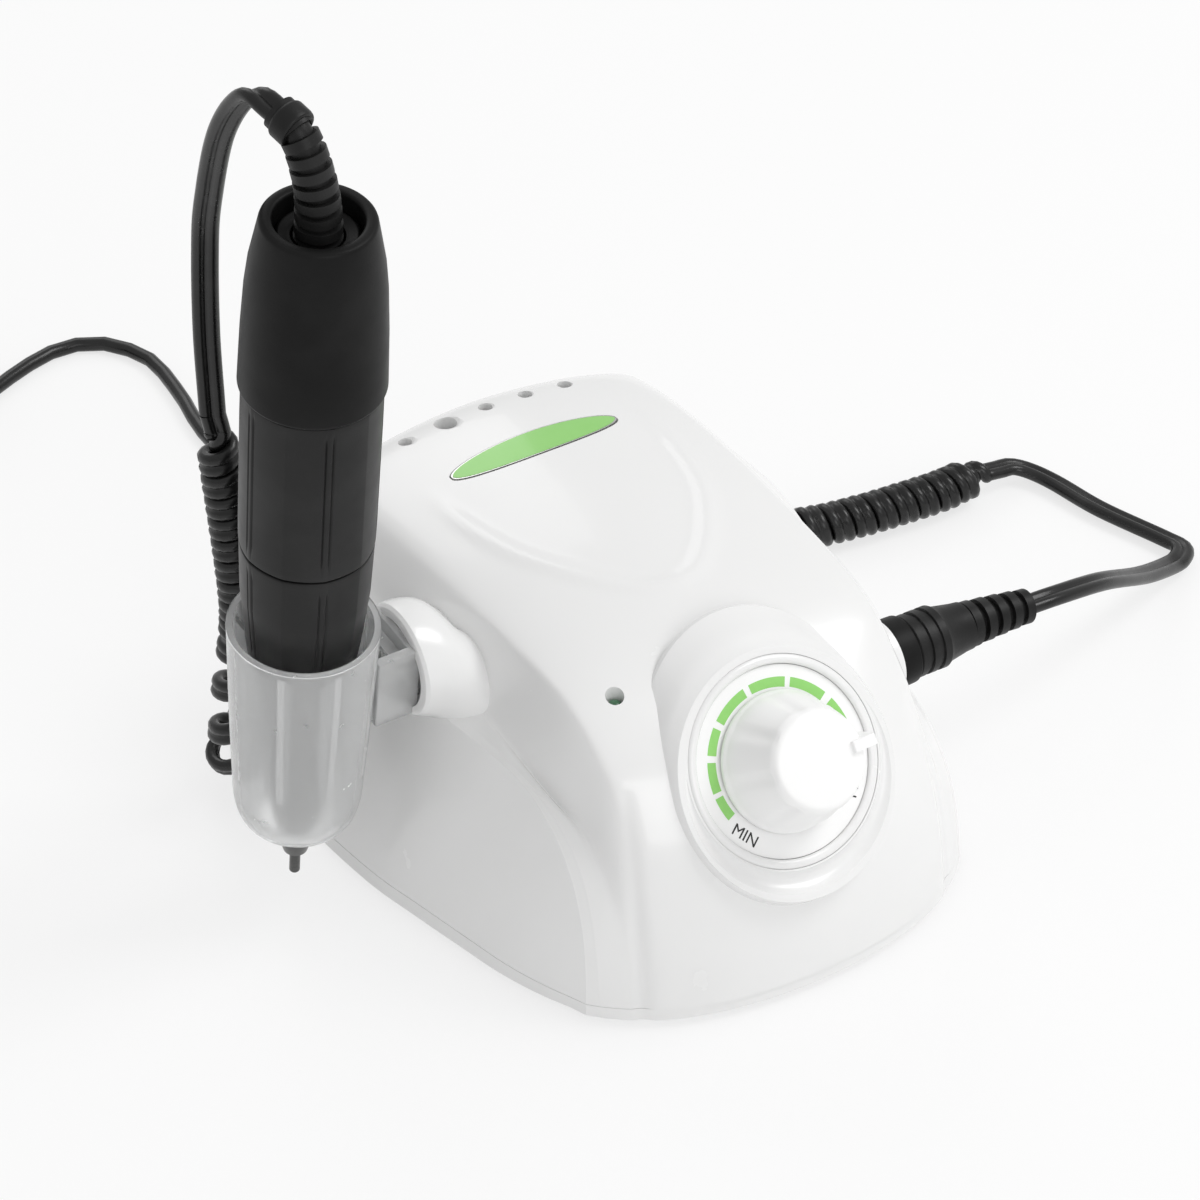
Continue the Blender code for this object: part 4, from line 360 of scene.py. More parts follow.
# Mains lead: round, out of the gland at the back, along the table and into its coil, wound in two layers
# as for storage, with the end led over the coil to the mains plug.
def poly_curve(name, points):
    """A curve of one spline that runs straight from point to point."""
    curve = bpy.data.curves.new(name, "CURVE")
    curve.dimensions = "3D"
    spline = curve.splines.new("POLY")
    spline.points.add(len(points) - 1)
    for knot, place in zip(spline.points, points):
        knot.co = (*place, 1.0)
    return curve


mains_route = route([(-14.0, 66.9, 16.0), (-14.0, 75.6, 16.0), (-14.0, 88.0, 16.2), (-13.6, 98.0, 13.2),
                     (-12.9, 110.0, 6.5), (-12.5, 122.0, 2.3), (-12.2, 135.0, 1.9), (-11.6, 160.0, 1.9),
                     (-11.0, 178.4, 1.9), (-8.1, 194.3, 1.9), (-6.9, 211.9, 1.9), (-12.1, 223.2, 1.9),
                     (-18.5, 227.6, 1.9), (-28.0, 227.8, 1.9), (-43.2, 222.3, 1.9), (-58.0, 214.6, 1.9)])
MAINS_RADIUS = 0.0018
COIL_RADIUS = 0.0210
COIL_PITCH = 0.0047
COIL_STEP = 0.0048
COIL_TURNS = 3
COIL_POINTS = 24
COIL_LIFT = 0.0001
# In turns: where the coil starts, how long it takes to step in to the inner layer, and how long its end
# takes to leave that layer, by as many steps.
COIL_START = -0.2
COIL_CROSSING = 0.5
COIL_LEAVING = 0.35
COIL_LEAVING_STEPS = 1.8
coil_middle = BOX_MIDDLE + Vector((-0.0780, 0.2290, MAINS_RADIUS + COIL_LIFT))
coil_points = []
for k in range(int((2 * COIL_TURNS + COIL_CROSSING + COIL_LEAVING) * COIL_POINTS) + 1):
    t = k / COIL_POINTS
    across = min(1.0, max(0.0, (t - COIL_TURNS) / COIL_CROSSING))
    inward = max(0.0, (t - 2 * COIL_TURNS - COIL_CROSSING) / COIL_LEAVING)
    reach = COIL_RADIUS - COIL_STEP * across - COIL_STEP * COIL_LEAVING_STEPS * inward
    wound_back = max(0.0, min(t - COIL_CROSSING, 2 * COIL_TURNS) - COIL_TURNS)
    rise = COIL_PITCH * (min(t, COIL_TURNS) - wound_back)
    angle = 2 * pi * (COIL_START - t)
    coil_points.append(coil_middle + Vector((reach * cos(angle), reach * sin(angle), rise)))
coil_ground = Vector((coil_middle.x, coil_middle.y, 0.0))
tail = [coil_ground + Vector(p) / 1000 for p in ((4.5, -6.6, 2.6), (-1.0, -9.2, 7.0), (-6.5, -7.5, 15.0),
                                                 (-11.0, -4.5, 21.0), (-19.0, -1.0, 22.5),
                                                 (-27.0, 2.0, 20.5), (-34.0, 4.6, 15.5),
                                                 (-40.0, 6.9, 13.0), (-46.0, 9.2, 12.9))]
tail_points = smooth_path([coil_points[-1]] + tail, MAINS_RADIUS * 2)
mains_points = smooth_path(mains_route + [coil_points[0]], MAINS_RADIUS * 4)
mains_points = mains_points + coil_points[1:] + tail_points[1:]
mains_curve = poly_curve("mains_lead", mains_points)
mains_curve.bevel_depth = MAINS_RADIUS
mains_curve.bevel_resolution = 5
mains_curve.use_fill_caps = True
mains_curve.splines[0].use_smooth = True
mains_lead = link("mains_cord", mains_curve, cord_rubber)
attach(mains_lead, "box")
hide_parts("mains_lead", "mains_coil")


# Mains plug: a round body of black rubber, moulded over the end of the lead and tapering to it, with two
# round pins of plated steel.
def turned(name, outline, segments=72, shape=None):
    """A closed (radius, height) outline spun round Z. shape changes the radius by height and angle."""
    bm = bmesh.new()
    rings = []
    for radius, height in outline:
        if radius <= 0.0:
            rings.append([bm.verts.new((0.0, 0.0, height))])
            continue
        ring = []
        for k in range(segments):
            a = 2 * pi * k / segments
            r = shape(radius, height, a) if shape else radius
            ring.append(bm.verts.new((r * cos(a), r * sin(a), height)))
        rings.append(ring)
    pairs = list(zip(rings, rings[1:]))
    if len(rings[0]) > 1 or len(rings[-1]) > 1:
        pairs.append((rings[-1], rings[0]))
    for low, high in pairs:
        for k in range(segments):
            n = (k + 1) % segments
            corners = list(dict.fromkeys([low[k % len(low)], low[n % len(low)],
                                          high[n % len(high)], high[k % len(high)]]))
            if len(corners) > 2:
                bm.faces.new(corners)
    return shaded(bm, name)


EASED_STEPS = 4
EASED_SHARE = 0.45
EASED_FROM = radians(18.0)


def eased(outline, radius):
    """The closed outline with its corners rounded off to about a radius, or less on a short side."""
    out = []
    count = len(outline)
    for k, (r, z) in enumerate(outline):
        here = Vector((r, z))
        back = Vector(outline[k - 1]) - here
        on = Vector(outline[(k + 1) % count]) - here
        if r <= 0.0 or min(back.length, on.length) < 1e-7 or (-back).angle(on) < EASED_FROM:
            out.append((r, z))
            continue
        cut = min(radius, back.length * EASED_SHARE, on.length * EASED_SHARE)
        start, end = here + back.normalized() * cut, here + on.normalized() * cut
        for i in range(EASED_STEPS + 1):
            t = i / EASED_STEPS
            out.append(tuple(start * (1 - t) ** 2 + here * 2 * t * (1 - t) + end * t * t))
    return out


SEAT = Matrix.Translation(BOX_MIDDLE)


def seated(mesh, matrix=Matrix()):
    """The mesh moved to its place by a matrix from the box's middle."""
    mesh.transform(SEAT @ matrix)
    return mesh


plug_rubber = Finish("plug_rubber", (0.009, 0.009, 0.009), 0.42, specular_ior_level=0.25)
plug_rubber.tint(plug_rubber.noise(0.009, 4.0).smooth(0.4, 0.8), (0.008, 0.008, 0.008),
                 (0.018, 0.018, 0.018))
plug_rubber.set("Roughness", 0.34 + plug_rubber.noise(0.003, 3.0) * 0.20)
plug_rubber.relief(plug_rubber.noise(0.0005, 3.0), 0.00003)
plated_steel = Finish("plated_steel", (0.66, 0.66, 0.65), 0.24, 1.0)
brushed = plated_steel.noise(0.0006, 3.0, plated_steel.stretched((1.0, 1.0, 8.0)))
plated_steel.set("Roughness", 0.16 + brushed * 0.22)
plated_steel.tint(plated_steel.noise(0.006, 3.0), (0.58, 0.58, 0.57), (0.72, 0.72, 0.71))
plated_steel.relief(brushed, 0.000008)
PLUG_RADIUS = 0.0125
PLUG_LENGTH = 0.030
plug_outline = eased([(0.0, 0.0), (0.0034, 0.0), (0.0043, 0.006), (0.0106, 0.0255), (0.0122, 0.028),
                      (PLUG_RADIUS, 0.0285), (0.0115, PLUG_LENGTH), (0.0, PLUG_LENGTH)], 0.0008)
heading = (mains_points[-1] - mains_points[-2]).normalized()
heading.z = 0.0
plug_turn = Vector((0.0, 0.0, 1.0)).rotation_difference(heading).to_matrix().to_4x4()
plug_place = Matrix.Translation(mains_points[-1]) @ plug_turn
mains_plug_mesh = turned("mains_plug_body", plug_outline)
mains_plug_mesh.transform(plug_place)
mains_plug = link("mains_plug_body", mains_plug_mesh, plug_rubber)
PIN_RADIUS = 0.0020
PIN_REACH = 0.048
PIN_OFFSET = 0.0095
pin_outline = eased([(0.0, 0.026), (PIN_RADIUS, 0.026), (PIN_RADIUS, 0.0468), (0.0012, PIN_REACH),
                     (0.0, PIN_REACH)], 0.0003)
pins = bmesh.new()
for side in (-1, 1):
    pin_mesh = turned("mains_pin", pin_outline, 32)
    pin_mesh.transform(plug_place @ Matrix.Translation((0.0, side * PIN_OFFSET, 0.0)))
    pins.from_mesh(pin_mesh)
pins_piece = link("mains_plug_pins", shaded(pins, "mains_plug_pins"), plated_steel)
for piece, slot in ((mains_plug, "black_rubber"), (pins_piece, "steel")):
    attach(piece, "box")
    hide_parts("mains_plug")
cord_length(mains_points)


# Housing: gloss white ABS, moulded as one shell: a tall dome with a fender on each side that rises to the
# rear. The columns run from the front edge over the top to the rear edge.
BODY_WIDTH = 0.133
BODY_DEPTH = 0.145
BODY_HEIGHT = 0.072
FOOT_HEIGHT = 0.002
column_shares = [
    [(0.0, -0.498, 0.0), (0.0, -0.487, 0.195), (0.0, -0.462, 0.403), (0.0, -0.417, 0.597),
     (0.0, -0.341, 0.771), (0.0, -0.207, 0.910), (0.0, 0.014, 0.986), (0.0, 0.248, 1.0),
     (0.0, 0.414, 0.972), (0.0, 0.479, 0.917), (0.0, 0.500, 0.840)],
    [(0.301, -0.485, 0.0), (0.301, -0.473, 0.195), (0.301, -0.448, 0.403), (0.301, -0.404, 0.590),
     (0.301, -0.331, 0.764), (0.301, -0.204, 0.900), (0.301, 0.014, 0.969), (0.308, 0.248, 0.981),
     (0.308, 0.414, 0.950), (0.305, 0.477, 0.893), (0.301, 0.499, 0.815)],
    [(0.511, -0.452, 0.0), (0.514, -0.440, 0.195), (0.514, -0.415, 0.389), (0.511, -0.376, 0.569),
     (0.505, -0.314, 0.740), (0.511, -0.201, 0.875), (0.526, 0.014, 0.928), (0.541, 0.248, 0.936),
     (0.538, 0.414, 0.903), (0.526, 0.474, 0.842), (0.511, 0.496, 0.760)],
    [(0.586, -0.429, 0.0), (0.586, -0.415, 0.195), (0.585, -0.392, 0.368), (0.574, -0.356, 0.542),
     (0.567, -0.300, 0.701), (0.576, -0.197, 0.826), (0.594, 0.014, 0.878), (0.617, 0.248, 0.886),
     (0.617, 0.410, 0.854), (0.600, 0.469, 0.796), (0.579, 0.490, 0.715)],
    [(0.617, -0.420, 0.0), (0.620, -0.404, 0.181), (0.617, -0.381, 0.340), (0.606, -0.341, 0.458),
     (0.598, -0.283, 0.528), (0.617, -0.193, 0.576), (0.647, 0.014, 0.722), (0.680, 0.235, 0.780),
     (0.672, 0.393, 0.750), (0.647, 0.455, 0.706), (0.617, 0.481, 0.650)],
    [(0.653, -0.407, 0.0), (0.653, -0.393, 0.176), (0.647, -0.371, 0.332), (0.636, -0.332, 0.444),
     (0.626, -0.276, 0.519), (0.641, -0.182, 0.578), (0.683, 0.014, 0.683), (0.744, 0.228, 0.735),
     (0.722, 0.379, 0.706), (0.684, 0.441, 0.660), (0.641, 0.474, 0.606)],
    [(0.689, -0.392, 0.0), (0.686, -0.381, 0.172), (0.677, -0.360, 0.321), (0.665, -0.322, 0.437),
     (0.656, -0.262, 0.519), (0.666, -0.167, 0.585), (0.720, 0.014, 0.653), (0.790, 0.221, 0.690),
     (0.767, 0.366, 0.657), (0.722, 0.431, 0.613), (0.662, 0.470, 0.565)],
    [(0.726, -0.374, 0.0), (0.716, -0.366, 0.167), (0.705, -0.347, 0.306), (0.692, -0.308, 0.428),
     (0.680, -0.243, 0.518), (0.686, -0.148, 0.581), (0.755, 0.010, 0.628), (0.835, 0.214, 0.640),
     (0.812, 0.352, 0.600), (0.758, 0.419, 0.561), (0.684, 0.466, 0.514)],
    [(0.737, -0.360, 0.0), (0.744, -0.343, 0.097), (0.755, -0.312, 0.174), (0.764, -0.266, 0.236),
     (0.776, -0.196, 0.278), (0.798, -0.104, 0.306), (0.856, 0.034, 0.333), (0.910, 0.221, 0.347),
     (0.875, 0.338, 0.333), (0.797, 0.410, 0.313), (0.699, 0.464, 0.292)],
    [(0.749, -0.345, 0.0), (0.785, -0.310, 0.0), (0.821, -0.266, 0.0), (0.854, -0.214, 0.0),
     (0.887, -0.141, 0.0), (0.925, -0.055, 0.0), (0.970, 0.062, 0.0), (0.985, 0.228, 0.0),
     (0.925, 0.324, 0.0), (0.820, 0.403, 0.0), (0.707, 0.462, 0.0)]]
half_columns = np.array(column_shares) * (BODY_WIDTH / 2, BODY_DEPTH, BODY_HEIGHT)
half_columns[:, :, 2] += FOOT_HEIGHT
# The fender's edge is crisp, so the outer face has columns close to it on either side.
EDGE = 7
edge_columns = [half_columns[EDGE] + (half_columns[EDGE + side] - half_columns[EDGE]) * near
                for side, near in ((-1, 0.75), (-1, 0.34), (-1, 0.10), (0, 0.0), (1, 0.07), (1, 0.26))]
crisp_columns = np.concatenate([half_columns[:EDGE], edge_columns, half_columns[EDGE + 1:]])


def both_halves(half):
    return np.concatenate([half[:0:-1] * (-1, 1, 1), half])


def spline_weights(count, places):
    """How much each of count knots adds to the Catmull-Rom curve at each place."""
    weights = np.zeros((len(places), count))
    for row, place in zip(weights, places):
        span = min(int(place), count - 2)
        u = place - span
        shares = np.array([-u + 2 * u * u - u ** 3, 2 - 5 * u * u + 3 * u ** 3,
                           u + 4 * u * u - 3 * u ** 3, u ** 3 - u * u]) / 2
        for knot, share in zip(range(span - 1, span + 3), shares):
            if knot < 0:
                row[0] += 2 * share
                row[1] -= share
            elif knot >= count:
                row[-1] += 2 * share
                row[-2] -= share
            else:
                row[knot] += share
    return weights


# A moulded roll runs in a U over the dome, round a panel that lies a little lower, and a crease runs down
# from the valley of each fender to the foot.
roll_half = [Vector((x, y)) / 1000 for x, y in ((27.6, 46.0), (27.5, 38.0), (27.2, 29.0), (25.8, 20.0),
                                                (23.2, 10.5), (18.8, 2.0), (12.8, -6.5), (6.5, -12.3),
                                                (0.0, -14.3))]
LINE_STEPS = 6
roll_line = np.array(fine_points(roll_half, LINE_STEPS))
ROLL_HEIGHT = 0.00050
ROLL_WIDTH = 0.0020
PANEL_DROP = 0.00040
ROLL_START = 0.0280
ROLL_END = 0.0440
ROLL_FOOT = 0.052
ROLL_FOOT_FADE = 0.006
crease_half = [Vector(p) / 1000 for p in ((34.5, -48.0, 50.0), (36.6, -54.0, 40.0), (38.2, -58.2, 28.0),
                                          (38.9, -60.6, 16.0), (39.2, -62.4, 2.0))]
crease_line = np.array(fine_points(crease_half, LINE_STEPS))
CREASE_DEPTH = 0.00045
CREASE_WIDTH = 0.0017
CREASE_FRONT = -0.040


def line_distance(points, line):
    """Each point's distance from a bent line of points."""
    nearest = np.full(len(points), 1.0)
    for a, b in zip(line, line[1:]):
        share = np.clip((points - a) @ (b - a) / ((b - a) @ (b - a)), 0.0, 1.0)
        nearest = np.minimum(nearest, np.linalg.norm(points - a - share[:, None] * (b - a), axis=1))
    return nearest


def skin_rise(grid):
    """How far the outer face stands off its smooth form at each point of the grid."""
    places = grid.reshape(-1, 3).copy()
    places[:, 0] = np.abs(places[:, 0])
    x, y, z = places.T
    roll = np.exp(-(line_distance(places[:, :2], roll_line) / ROLL_WIDTH) ** 2)
    fade = (np.clip((ROLL_END - y) / (ROLL_END - ROLL_START), 0, 1)
            * np.clip((z - ROLL_FOOT) / ROLL_FOOT_FADE, 0, 1))
    inside = x < np.interp(y, roll_line[::-1, 1], roll_line[::-1, 0], left=0.0)
    drop = PANEL_DROP * np.where(inside, 1.0 - roll, 0.0)
    rise = fade * (ROLL_HEIGHT * roll - drop)
    crease = np.exp(-(line_distance(places, crease_line) / CREASE_WIDTH) ** 2)
    rise -= CREASE_DEPTH * np.where(y < CREASE_FRONT, crease, 0.0)
    return rise.reshape(grid.shape[:2])


# Passes that draw each point of the outer face halfway to its neighbours, and the step over which the
# face's direction is measured.
SKIN_EASING = 10
NEAR = 0.02


def skin_grid(u_steps, v_steps, inset=0.0):
    """The housing's outer face as rows of points from the front, or set in along its normal."""
    columns = both_halves(half_columns if inset else crisp_columns)

    def at(us, vs):
        across = spline_weights(len(columns), us)
        along = spline_weights(columns.shape[1], vs)
        return np.einsum("vi,uc,cij->vuj", along, across, columns)

    us = np.linspace(0, len(columns) - 1, u_steps + 1)
    vs = np.linspace(0, columns.shape[1] - 1, v_steps + 1)
    grid = at(us, vs)
    for _ in range(SKIN_EASING):
        grid[:, 1:-1] += (grid[:, 2:] + grid[:, :-2] - 2 * grid[:, 1:-1]) / 4
    across = at(np.minimum(us + NEAR, us[-1]), vs) - at(np.maximum(us - NEAR, 0), vs)
    along = at(us, np.minimum(vs + NEAR, vs[-1])) - at(us, np.maximum(vs - NEAR, 0))
    normal = np.cross(across, along)
    normal[-1, :, 1] = 0.0
    length = np.maximum(np.linalg.norm(normal, axis=2, keepdims=True), 1e-12)
    if inset:
        return grid - normal / length * inset
    return grid + normal / length * skin_rise(grid)[:, :, None]


def skin_solid(name, u_steps, v_steps, inset=0.0, drop=0.0, back=0.0):
    """The housing's shape as a closed solid, straight down to the drop line and straight back behind."""
    grid = skin_grid(u_steps, v_steps, inset)
    if back:
        grid = np.concatenate([grid, grid[-1:] + (0.0, back, 0.0)])
    bm = bmesh.new()
    made = [[bm.verts.new(p) for p in line] for line in grid]
    for low, high in zip(made, made[1:]):
        for k in range(len(low) - 1):
            bm.faces.new([low[k], low[k + 1], high[k + 1], high[k]])
    chain = [line[0] for line in reversed(made)] + made[0][1:] + [line[-1] for line in made[1:]]
    rear = made[-1]
    foot = chain
    if drop:
        foot = [bm.verts.new((v.co.x, v.co.y, FOOT_HEIGHT - drop)) for v in chain]
        for k in range(len(chain) - 1):
            bm.faces.new([chain[k], chain[k + 1], foot[k + 1], foot[k]])
        rear = rear + [foot[-1], foot[0]]
    bm.faces.new(foot)
    hub = bm.verts.new(sum((v.co for v in rear), Vector()) / len(rear))
    for k in range(len(rear)):
        bm.faces.new([rear[k], rear[(k + 1) % len(rear)], hub])
    return shaded(bm, name)


def plain_mesh(holder, *others):
    """The mesh that an object's modifiers make, once it and its helpers are removed."""
    made = bpy.data.meshes.new_from_object(holder.evaluated_get(bpy.context.evaluated_depsgraph_get()))
    for used in (*others, holder):
        bpy.data.objects.remove(used)
    return made


def carve(mesh, steps):
    """Adds or takes away solids one after another, and gives the plain mesh."""
    body = link("carved", mesh)
    tools = []
    for k, (operation, other) in enumerate(steps):
        tools.append(link(f"tool_{k}", other))
        change = body.modifiers.new(f"step_{k}", "BOOLEAN")
        change.operation = operation
        change.solver = "EXACT"
        change.object = tools[-1]
    return plain_mesh(body, *tools)


def slab(name, size, middle=(0.0, 0.0, 0.0), edge=0.0):
    """A block with its edges rounded off, or sharp."""
    bm = bmesh.new()
    bmesh.ops.create_cube(bm, size=1.0)
    for vert in bm.verts:
        vert.co = Vector([m + s * v for m, s, v in zip(middle, size, vert.co)])
    if edge:
        bmesh.ops.bevel(bm, geom=list(bm.edges), offset=edge, segments=3, profile=0.5, affect="EDGES")
    return shaded(bm, name, 40.0)


CLEAR = 0.0003
SKIN_ACROSS = 340
SKIN_ALONG = 232
skin = skin_solid("skin", SKIN_ACROSS, SKIN_ALONG)
skin_tree = BVHTree.FromPolygons([v.co for v in skin.vertices], [list(p.vertices) for p in skin.polygons])
ABOVE_ALL = 0.2


def dome_height(x, y):
    return skin_tree.ray_cast(Vector((x, y, ABOVE_ALL)), Vector((0.0, 0.0, -1.0)))[0].z


# The dial has its own axes on the front slope, and the housing rises round it in a pedestal.
DIAL_Y = -0.0550
DIAL_Z = 0.0495
DIAL_SLOPE = radians(56.0)
DIAL = Matrix.Translation((0.0, DIAL_Y, DIAL_Z)) @ Matrix.Rotation(DIAL_SLOPE, 4, "X")
DIAL_RADIUS = 0.0203
BEZEL_WIDTH = 0.0021
PEDESTAL_RADIUS = 0.0240
PEDESTAL_RISE = 0.0006
RING_POINTS = 96
# Each ring's width, length and shift down the slope as shares of the radius, and its height as a share of
# the rise.
pedestal_shares = [Vector(s) for s in ((0.90, 0.90, 0.0, 1.0), (1.046, 1.098, -0.106, 1.0),
                                       (1.071, 1.123, -0.106, 0.4), (1.090, 1.156, -0.090, -1.2),
                                       (1.11, 1.208, -0.050, -4.0), (1.135, 1.281, -0.002, -9.0),
                                       (1.155, 1.356, 0.040, -15.0), (1.0, 1.05, 0.105, -22.0))]
pedestal_rings = []
for wide, long, shift, rise in fine_points(pedestal_shares, 3):
    pedestal_rings.append([(PEDESTAL_RADIUS * wide * cos(2 * pi * i / RING_POINTS),
                            PEDESTAL_RADIUS * (shift + long * sin(2 * pi * i / RING_POINTS)),
                            PEDESTAL_RISE * rise) for i in range(RING_POINTS)])
pedestal = lofted("pedestal", pedestal_rings)
pedestal.transform(DIAL)

# A gutter runs round the lower side of the dial's rim, between it and the pedestal's lip. It is widest at
# the foot of the slope and runs out at the top.
GUTTER_RADIUS = 0.0247
GUTTER_DROP = 0.0035
GUTTER_TOP = 0.0009
GUTTER_DEPTH_SHARE = 0.34
GUTTER_LEAN = 0.85
GUTTER_LEAST = 0.00005
GUTTER_OVER = 0.006
GUTTER_POINTS = 144
GUTTER_STEPS = 12
RIM_RADIUS = DIAL_RADIUS + BEZEL_WIDTH + CLEAR
gutter = bmesh.new()
gutter_rows = []
for i in range(GUTTER_POINTS):
    a = 2 * pi * i / GUTTER_POINTS
    reach = sqrt(GUTTER_RADIUS ** 2 - (GUTTER_DROP * cos(a)) ** 2) - GUTTER_DROP * sin(a)
    width = max(reach - RIM_RADIUS, GUTTER_LEAST)
    row = [(RIM_RADIUS + width * k / GUTTER_STEPS,
            GUTTER_TOP - GUTTER_DEPTH_SHARE * width * sin(pi * (k / GUTTER_STEPS) ** GUTTER_LEAN))
           for k in range(GUTTER_STEPS + 1)]
    row += [(RIM_RADIUS + width, GUTTER_OVER), (RIM_RADIUS, GUTTER_OVER)]
    gutter_rows.append([gutter.verts.new((r * cos(a), r * sin(a), z)) for r, z in row])
for low, high in zip(gutter_rows, gutter_rows[1:] + gutter_rows[:1]):
    for k in range(len(low)):
        n = (k + 1) % len(low)
        gutter.faces.new([low[k], low[n], high[n], high[k]])
gutter_mesh = shaded(gutter, "gutter")
gutter_mesh.transform(DIAL)

# The ear is a short lobe on the fender's ridge: its top rounds down into the valley behind it, and its
# lower side spreads into the fender. Each section has its distance from the box's middle and its radius at
# the top and at the bottom.
EAR_Y = 0.0080
EAR_Z = 0.0585
EAR_REACH = 0.0540
EAR_LIP = 0.0556
EAR_ROUNDING = 0.8
ALONG_X = Matrix.Rotation(radians(90.0), 4, "Y")
ear_place = Matrix.Translation((0.0, EAR_Y, EAR_Z)) @ ALONG_X
ear_sections = [(EAR_LIP, 0.0112, 0.0112), (EAR_LIP - 0.0003, 0.0120, 0.0120),
                (EAR_LIP - 0.0010, 0.0126, 0.0126), (0.0534, 0.0126, 0.0130), (0.0512, 0.0123, 0.0142),
                (0.0492, 0.0117, 0.0160), (0.0472, 0.0107, 0.0182), (0.0454, 0.0092, 0.0206),
                (0.0436, 0.0068, 0.0230), (0.0418, 0.0038, 0.0250), (0.0395, 0.0012, 0.0268),
                (0.0330, 0.0006, 0.0274)]
ear_rings = []
for x, high, low in ear_sections:
    ring = []
    for k in range(RING_POINTS):
        a = 2 * pi * k / RING_POINTS
        r = low + (high - low) * (0.5 + 0.5 * sin(a)) ** EAR_ROUNDING
        ring.append((-x, EAR_Y + r * cos(a), EAR_Z + r * sin(a)))
    ear_rings.append(ring)
ear = lofted("ear", ear_rings)
POCKET_RADIUS = 0.0104
POCKET_FLOOR_RADIUS = 0.0101
POCKET_DEPTH = 0.0076
POCKET_OVER = 0.006
pocket_outline = eased([(0.0, -EAR_REACH - POCKET_OVER), (POCKET_RADIUS, -EAR_REACH - POCKET_OVER),
                        (POCKET_FLOOR_RADIUS, POCKET_DEPTH - EAR_REACH),
                        (0.0, POCKET_DEPTH - EAR_REACH)], 0.0004)
pocket = turned("pocket", pocket_outline, 96)
pocket.transform(ear_place)

# A round boss in the right wall carries the handpiece's socket, which sits in a stepped way through it.
SOCKET_Y = -0.0200
SOCKET_Z = 0.0334
SOCKET_FACE = 0.0508
SOCKET_RADIUS = 0.0066
SOCKET_RIM_RADIUS = 0.0083
SOCKET_OVER = 0.010
BOSS_FOOT = 0.041
BOSS_RADIUS = 0.0086
WAY_FOOT = 0.0405
socket_place = Matrix.Translation((0.0, SOCKET_Y, SOCKET_Z)) @ ALONG_X
boss = turned("boss", eased([(0.0, BOSS_FOOT), (BOSS_RADIUS, BOSS_FOOT), (BOSS_RADIUS, SOCKET_FACE + CLEAR),
                             (0.0, SOCKET_FACE + CLEAR)], 0.0004))
boss.transform(socket_place)
socket_way = turned("socket_way", [(0.0, WAY_FOOT), (SOCKET_RADIUS, WAY_FOOT), (SOCKET_RADIUS, SOCKET_FACE),
                                   (SOCKET_RIM_RADIUS, SOCKET_FACE),
                                   (SOCKET_RIM_RADIUS, SOCKET_FACE + SOCKET_OVER),
                                   (0.0, SOCKET_FACE + SOCKET_OVER)])
socket_way.transform(socket_place)

# The housing ends a fine gap above the base tray. Behind, it is open to the rear panel and hollow.
PARTING = FOOT_HEIGHT + 0.0027
PARTING_GAP = 0.00012
REAR_FRONT = 0.0648
WALL = 0.0024
rear_half = slab("rear_part", (0.3, 0.06, 0.3), (0.0, REAR_FRONT + 0.03, 0.1))
rear_room = carve(skin_solid("rear_room", 96, 40, inset=WALL, drop=0.004, back=0.02),
                  [("INTERSECT", rear_half)])
DIAL_SEAT_RADIUS = RIM_RADIUS - 0.0002
DIAL_SEAT_FLOOR = -0.0015
DIAL_SEAT_OVER = 0.0188
dial_seat = turned("dial_seat", [(0.0, DIAL_SEAT_FLOOR), (DIAL_SEAT_RADIUS, DIAL_SEAT_FLOOR),
                                 (DIAL_SEAT_RADIUS, DIAL_SEAT_OVER), (0.0, DIAL_SEAT_OVER)], 96)
dial_seat.transform(DIAL)
below = slab("below", (0.3, 0.3, 0.1), (0.0, 0.0, PARTING + PARTING_GAP - 0.05))
steps = [("UNION", pedestal), ("UNION", ear), ("UNION", boss)]
steps += [("DIFFERENCE", other) for other in (below, rear_room, dial_seat, gutter_mesh, pocket, socket_way)]

# Holes for bur shanks in the top, each with a small countersink; the second takes a wider shank. The
# lamp's hole is plain.
BUR_HOLE_Y = 0.0620
BUR_HOLE_PITCH = 0.0103
BUR_HOLE_RADIUS = 0.0016
BUR_HOLE_WIDE = 0.0026
BUR_HOLE_DEPTH = 0.012
BUR_HOLE_OVER = 0.004
BUR_CHAMFER = 0.0008
for k in range(-2, 3):
    radius = BUR_HOLE_WIDE if k == -1 else BUR_HOLE_RADIUS
    hole = turned("bur_hole", [(0.0, -BUR_HOLE_DEPTH), (radius, -BUR_HOLE_DEPTH),
                               (radius, -BUR_CHAMFER * 0.4),
                               (radius + BUR_CHAMFER * 0.7, BUR_CHAMFER * 0.4),
                               (radius + BUR_CHAMFER * 2.0, BUR_CHAMFER * 1.1),
                               (radius + BUR_CHAMFER * 2.0, BUR_HOLE_OVER), (0.0, BUR_HOLE_OVER)], 40)
    x = k * BUR_HOLE_PITCH
    hole.transform(Matrix.Translation((x, BUR_HOLE_Y, dome_height(x, BUR_HOLE_Y))))
    steps.append(("DIFFERENCE", hole))
LAMP_X = -0.0277
LAMP_Y = -0.0337
LAMP_HOLE_RADIUS = 0.0020
lamp_top = Vector((LAMP_X, LAMP_Y, dome_height(LAMP_X, LAMP_Y)))
lamp_hole = turned("lamp_hole", [(0.0, -0.009), (LAMP_HOLE_RADIUS, -0.009), (LAMP_HOLE_RADIUS, 0.006),
                                 (0.0, 0.006)], 48)
lamp_hole.transform(Matrix.Translation(lamp_top))
steps.append(("DIFFERENCE", lamp_hole))

# The badge lies in a shallow recess of its own lens shape, bent to the dome.
PLATE_Y = 0.0415
PLATE_LENGTH = 0.0420
PLATE_WIDTH = 0.0086
PLATE_POINTING = 0.95
PLATE_STATIONS = 56
PLATE_ROWS = 8
RECESS_DEPTH = 0.0011


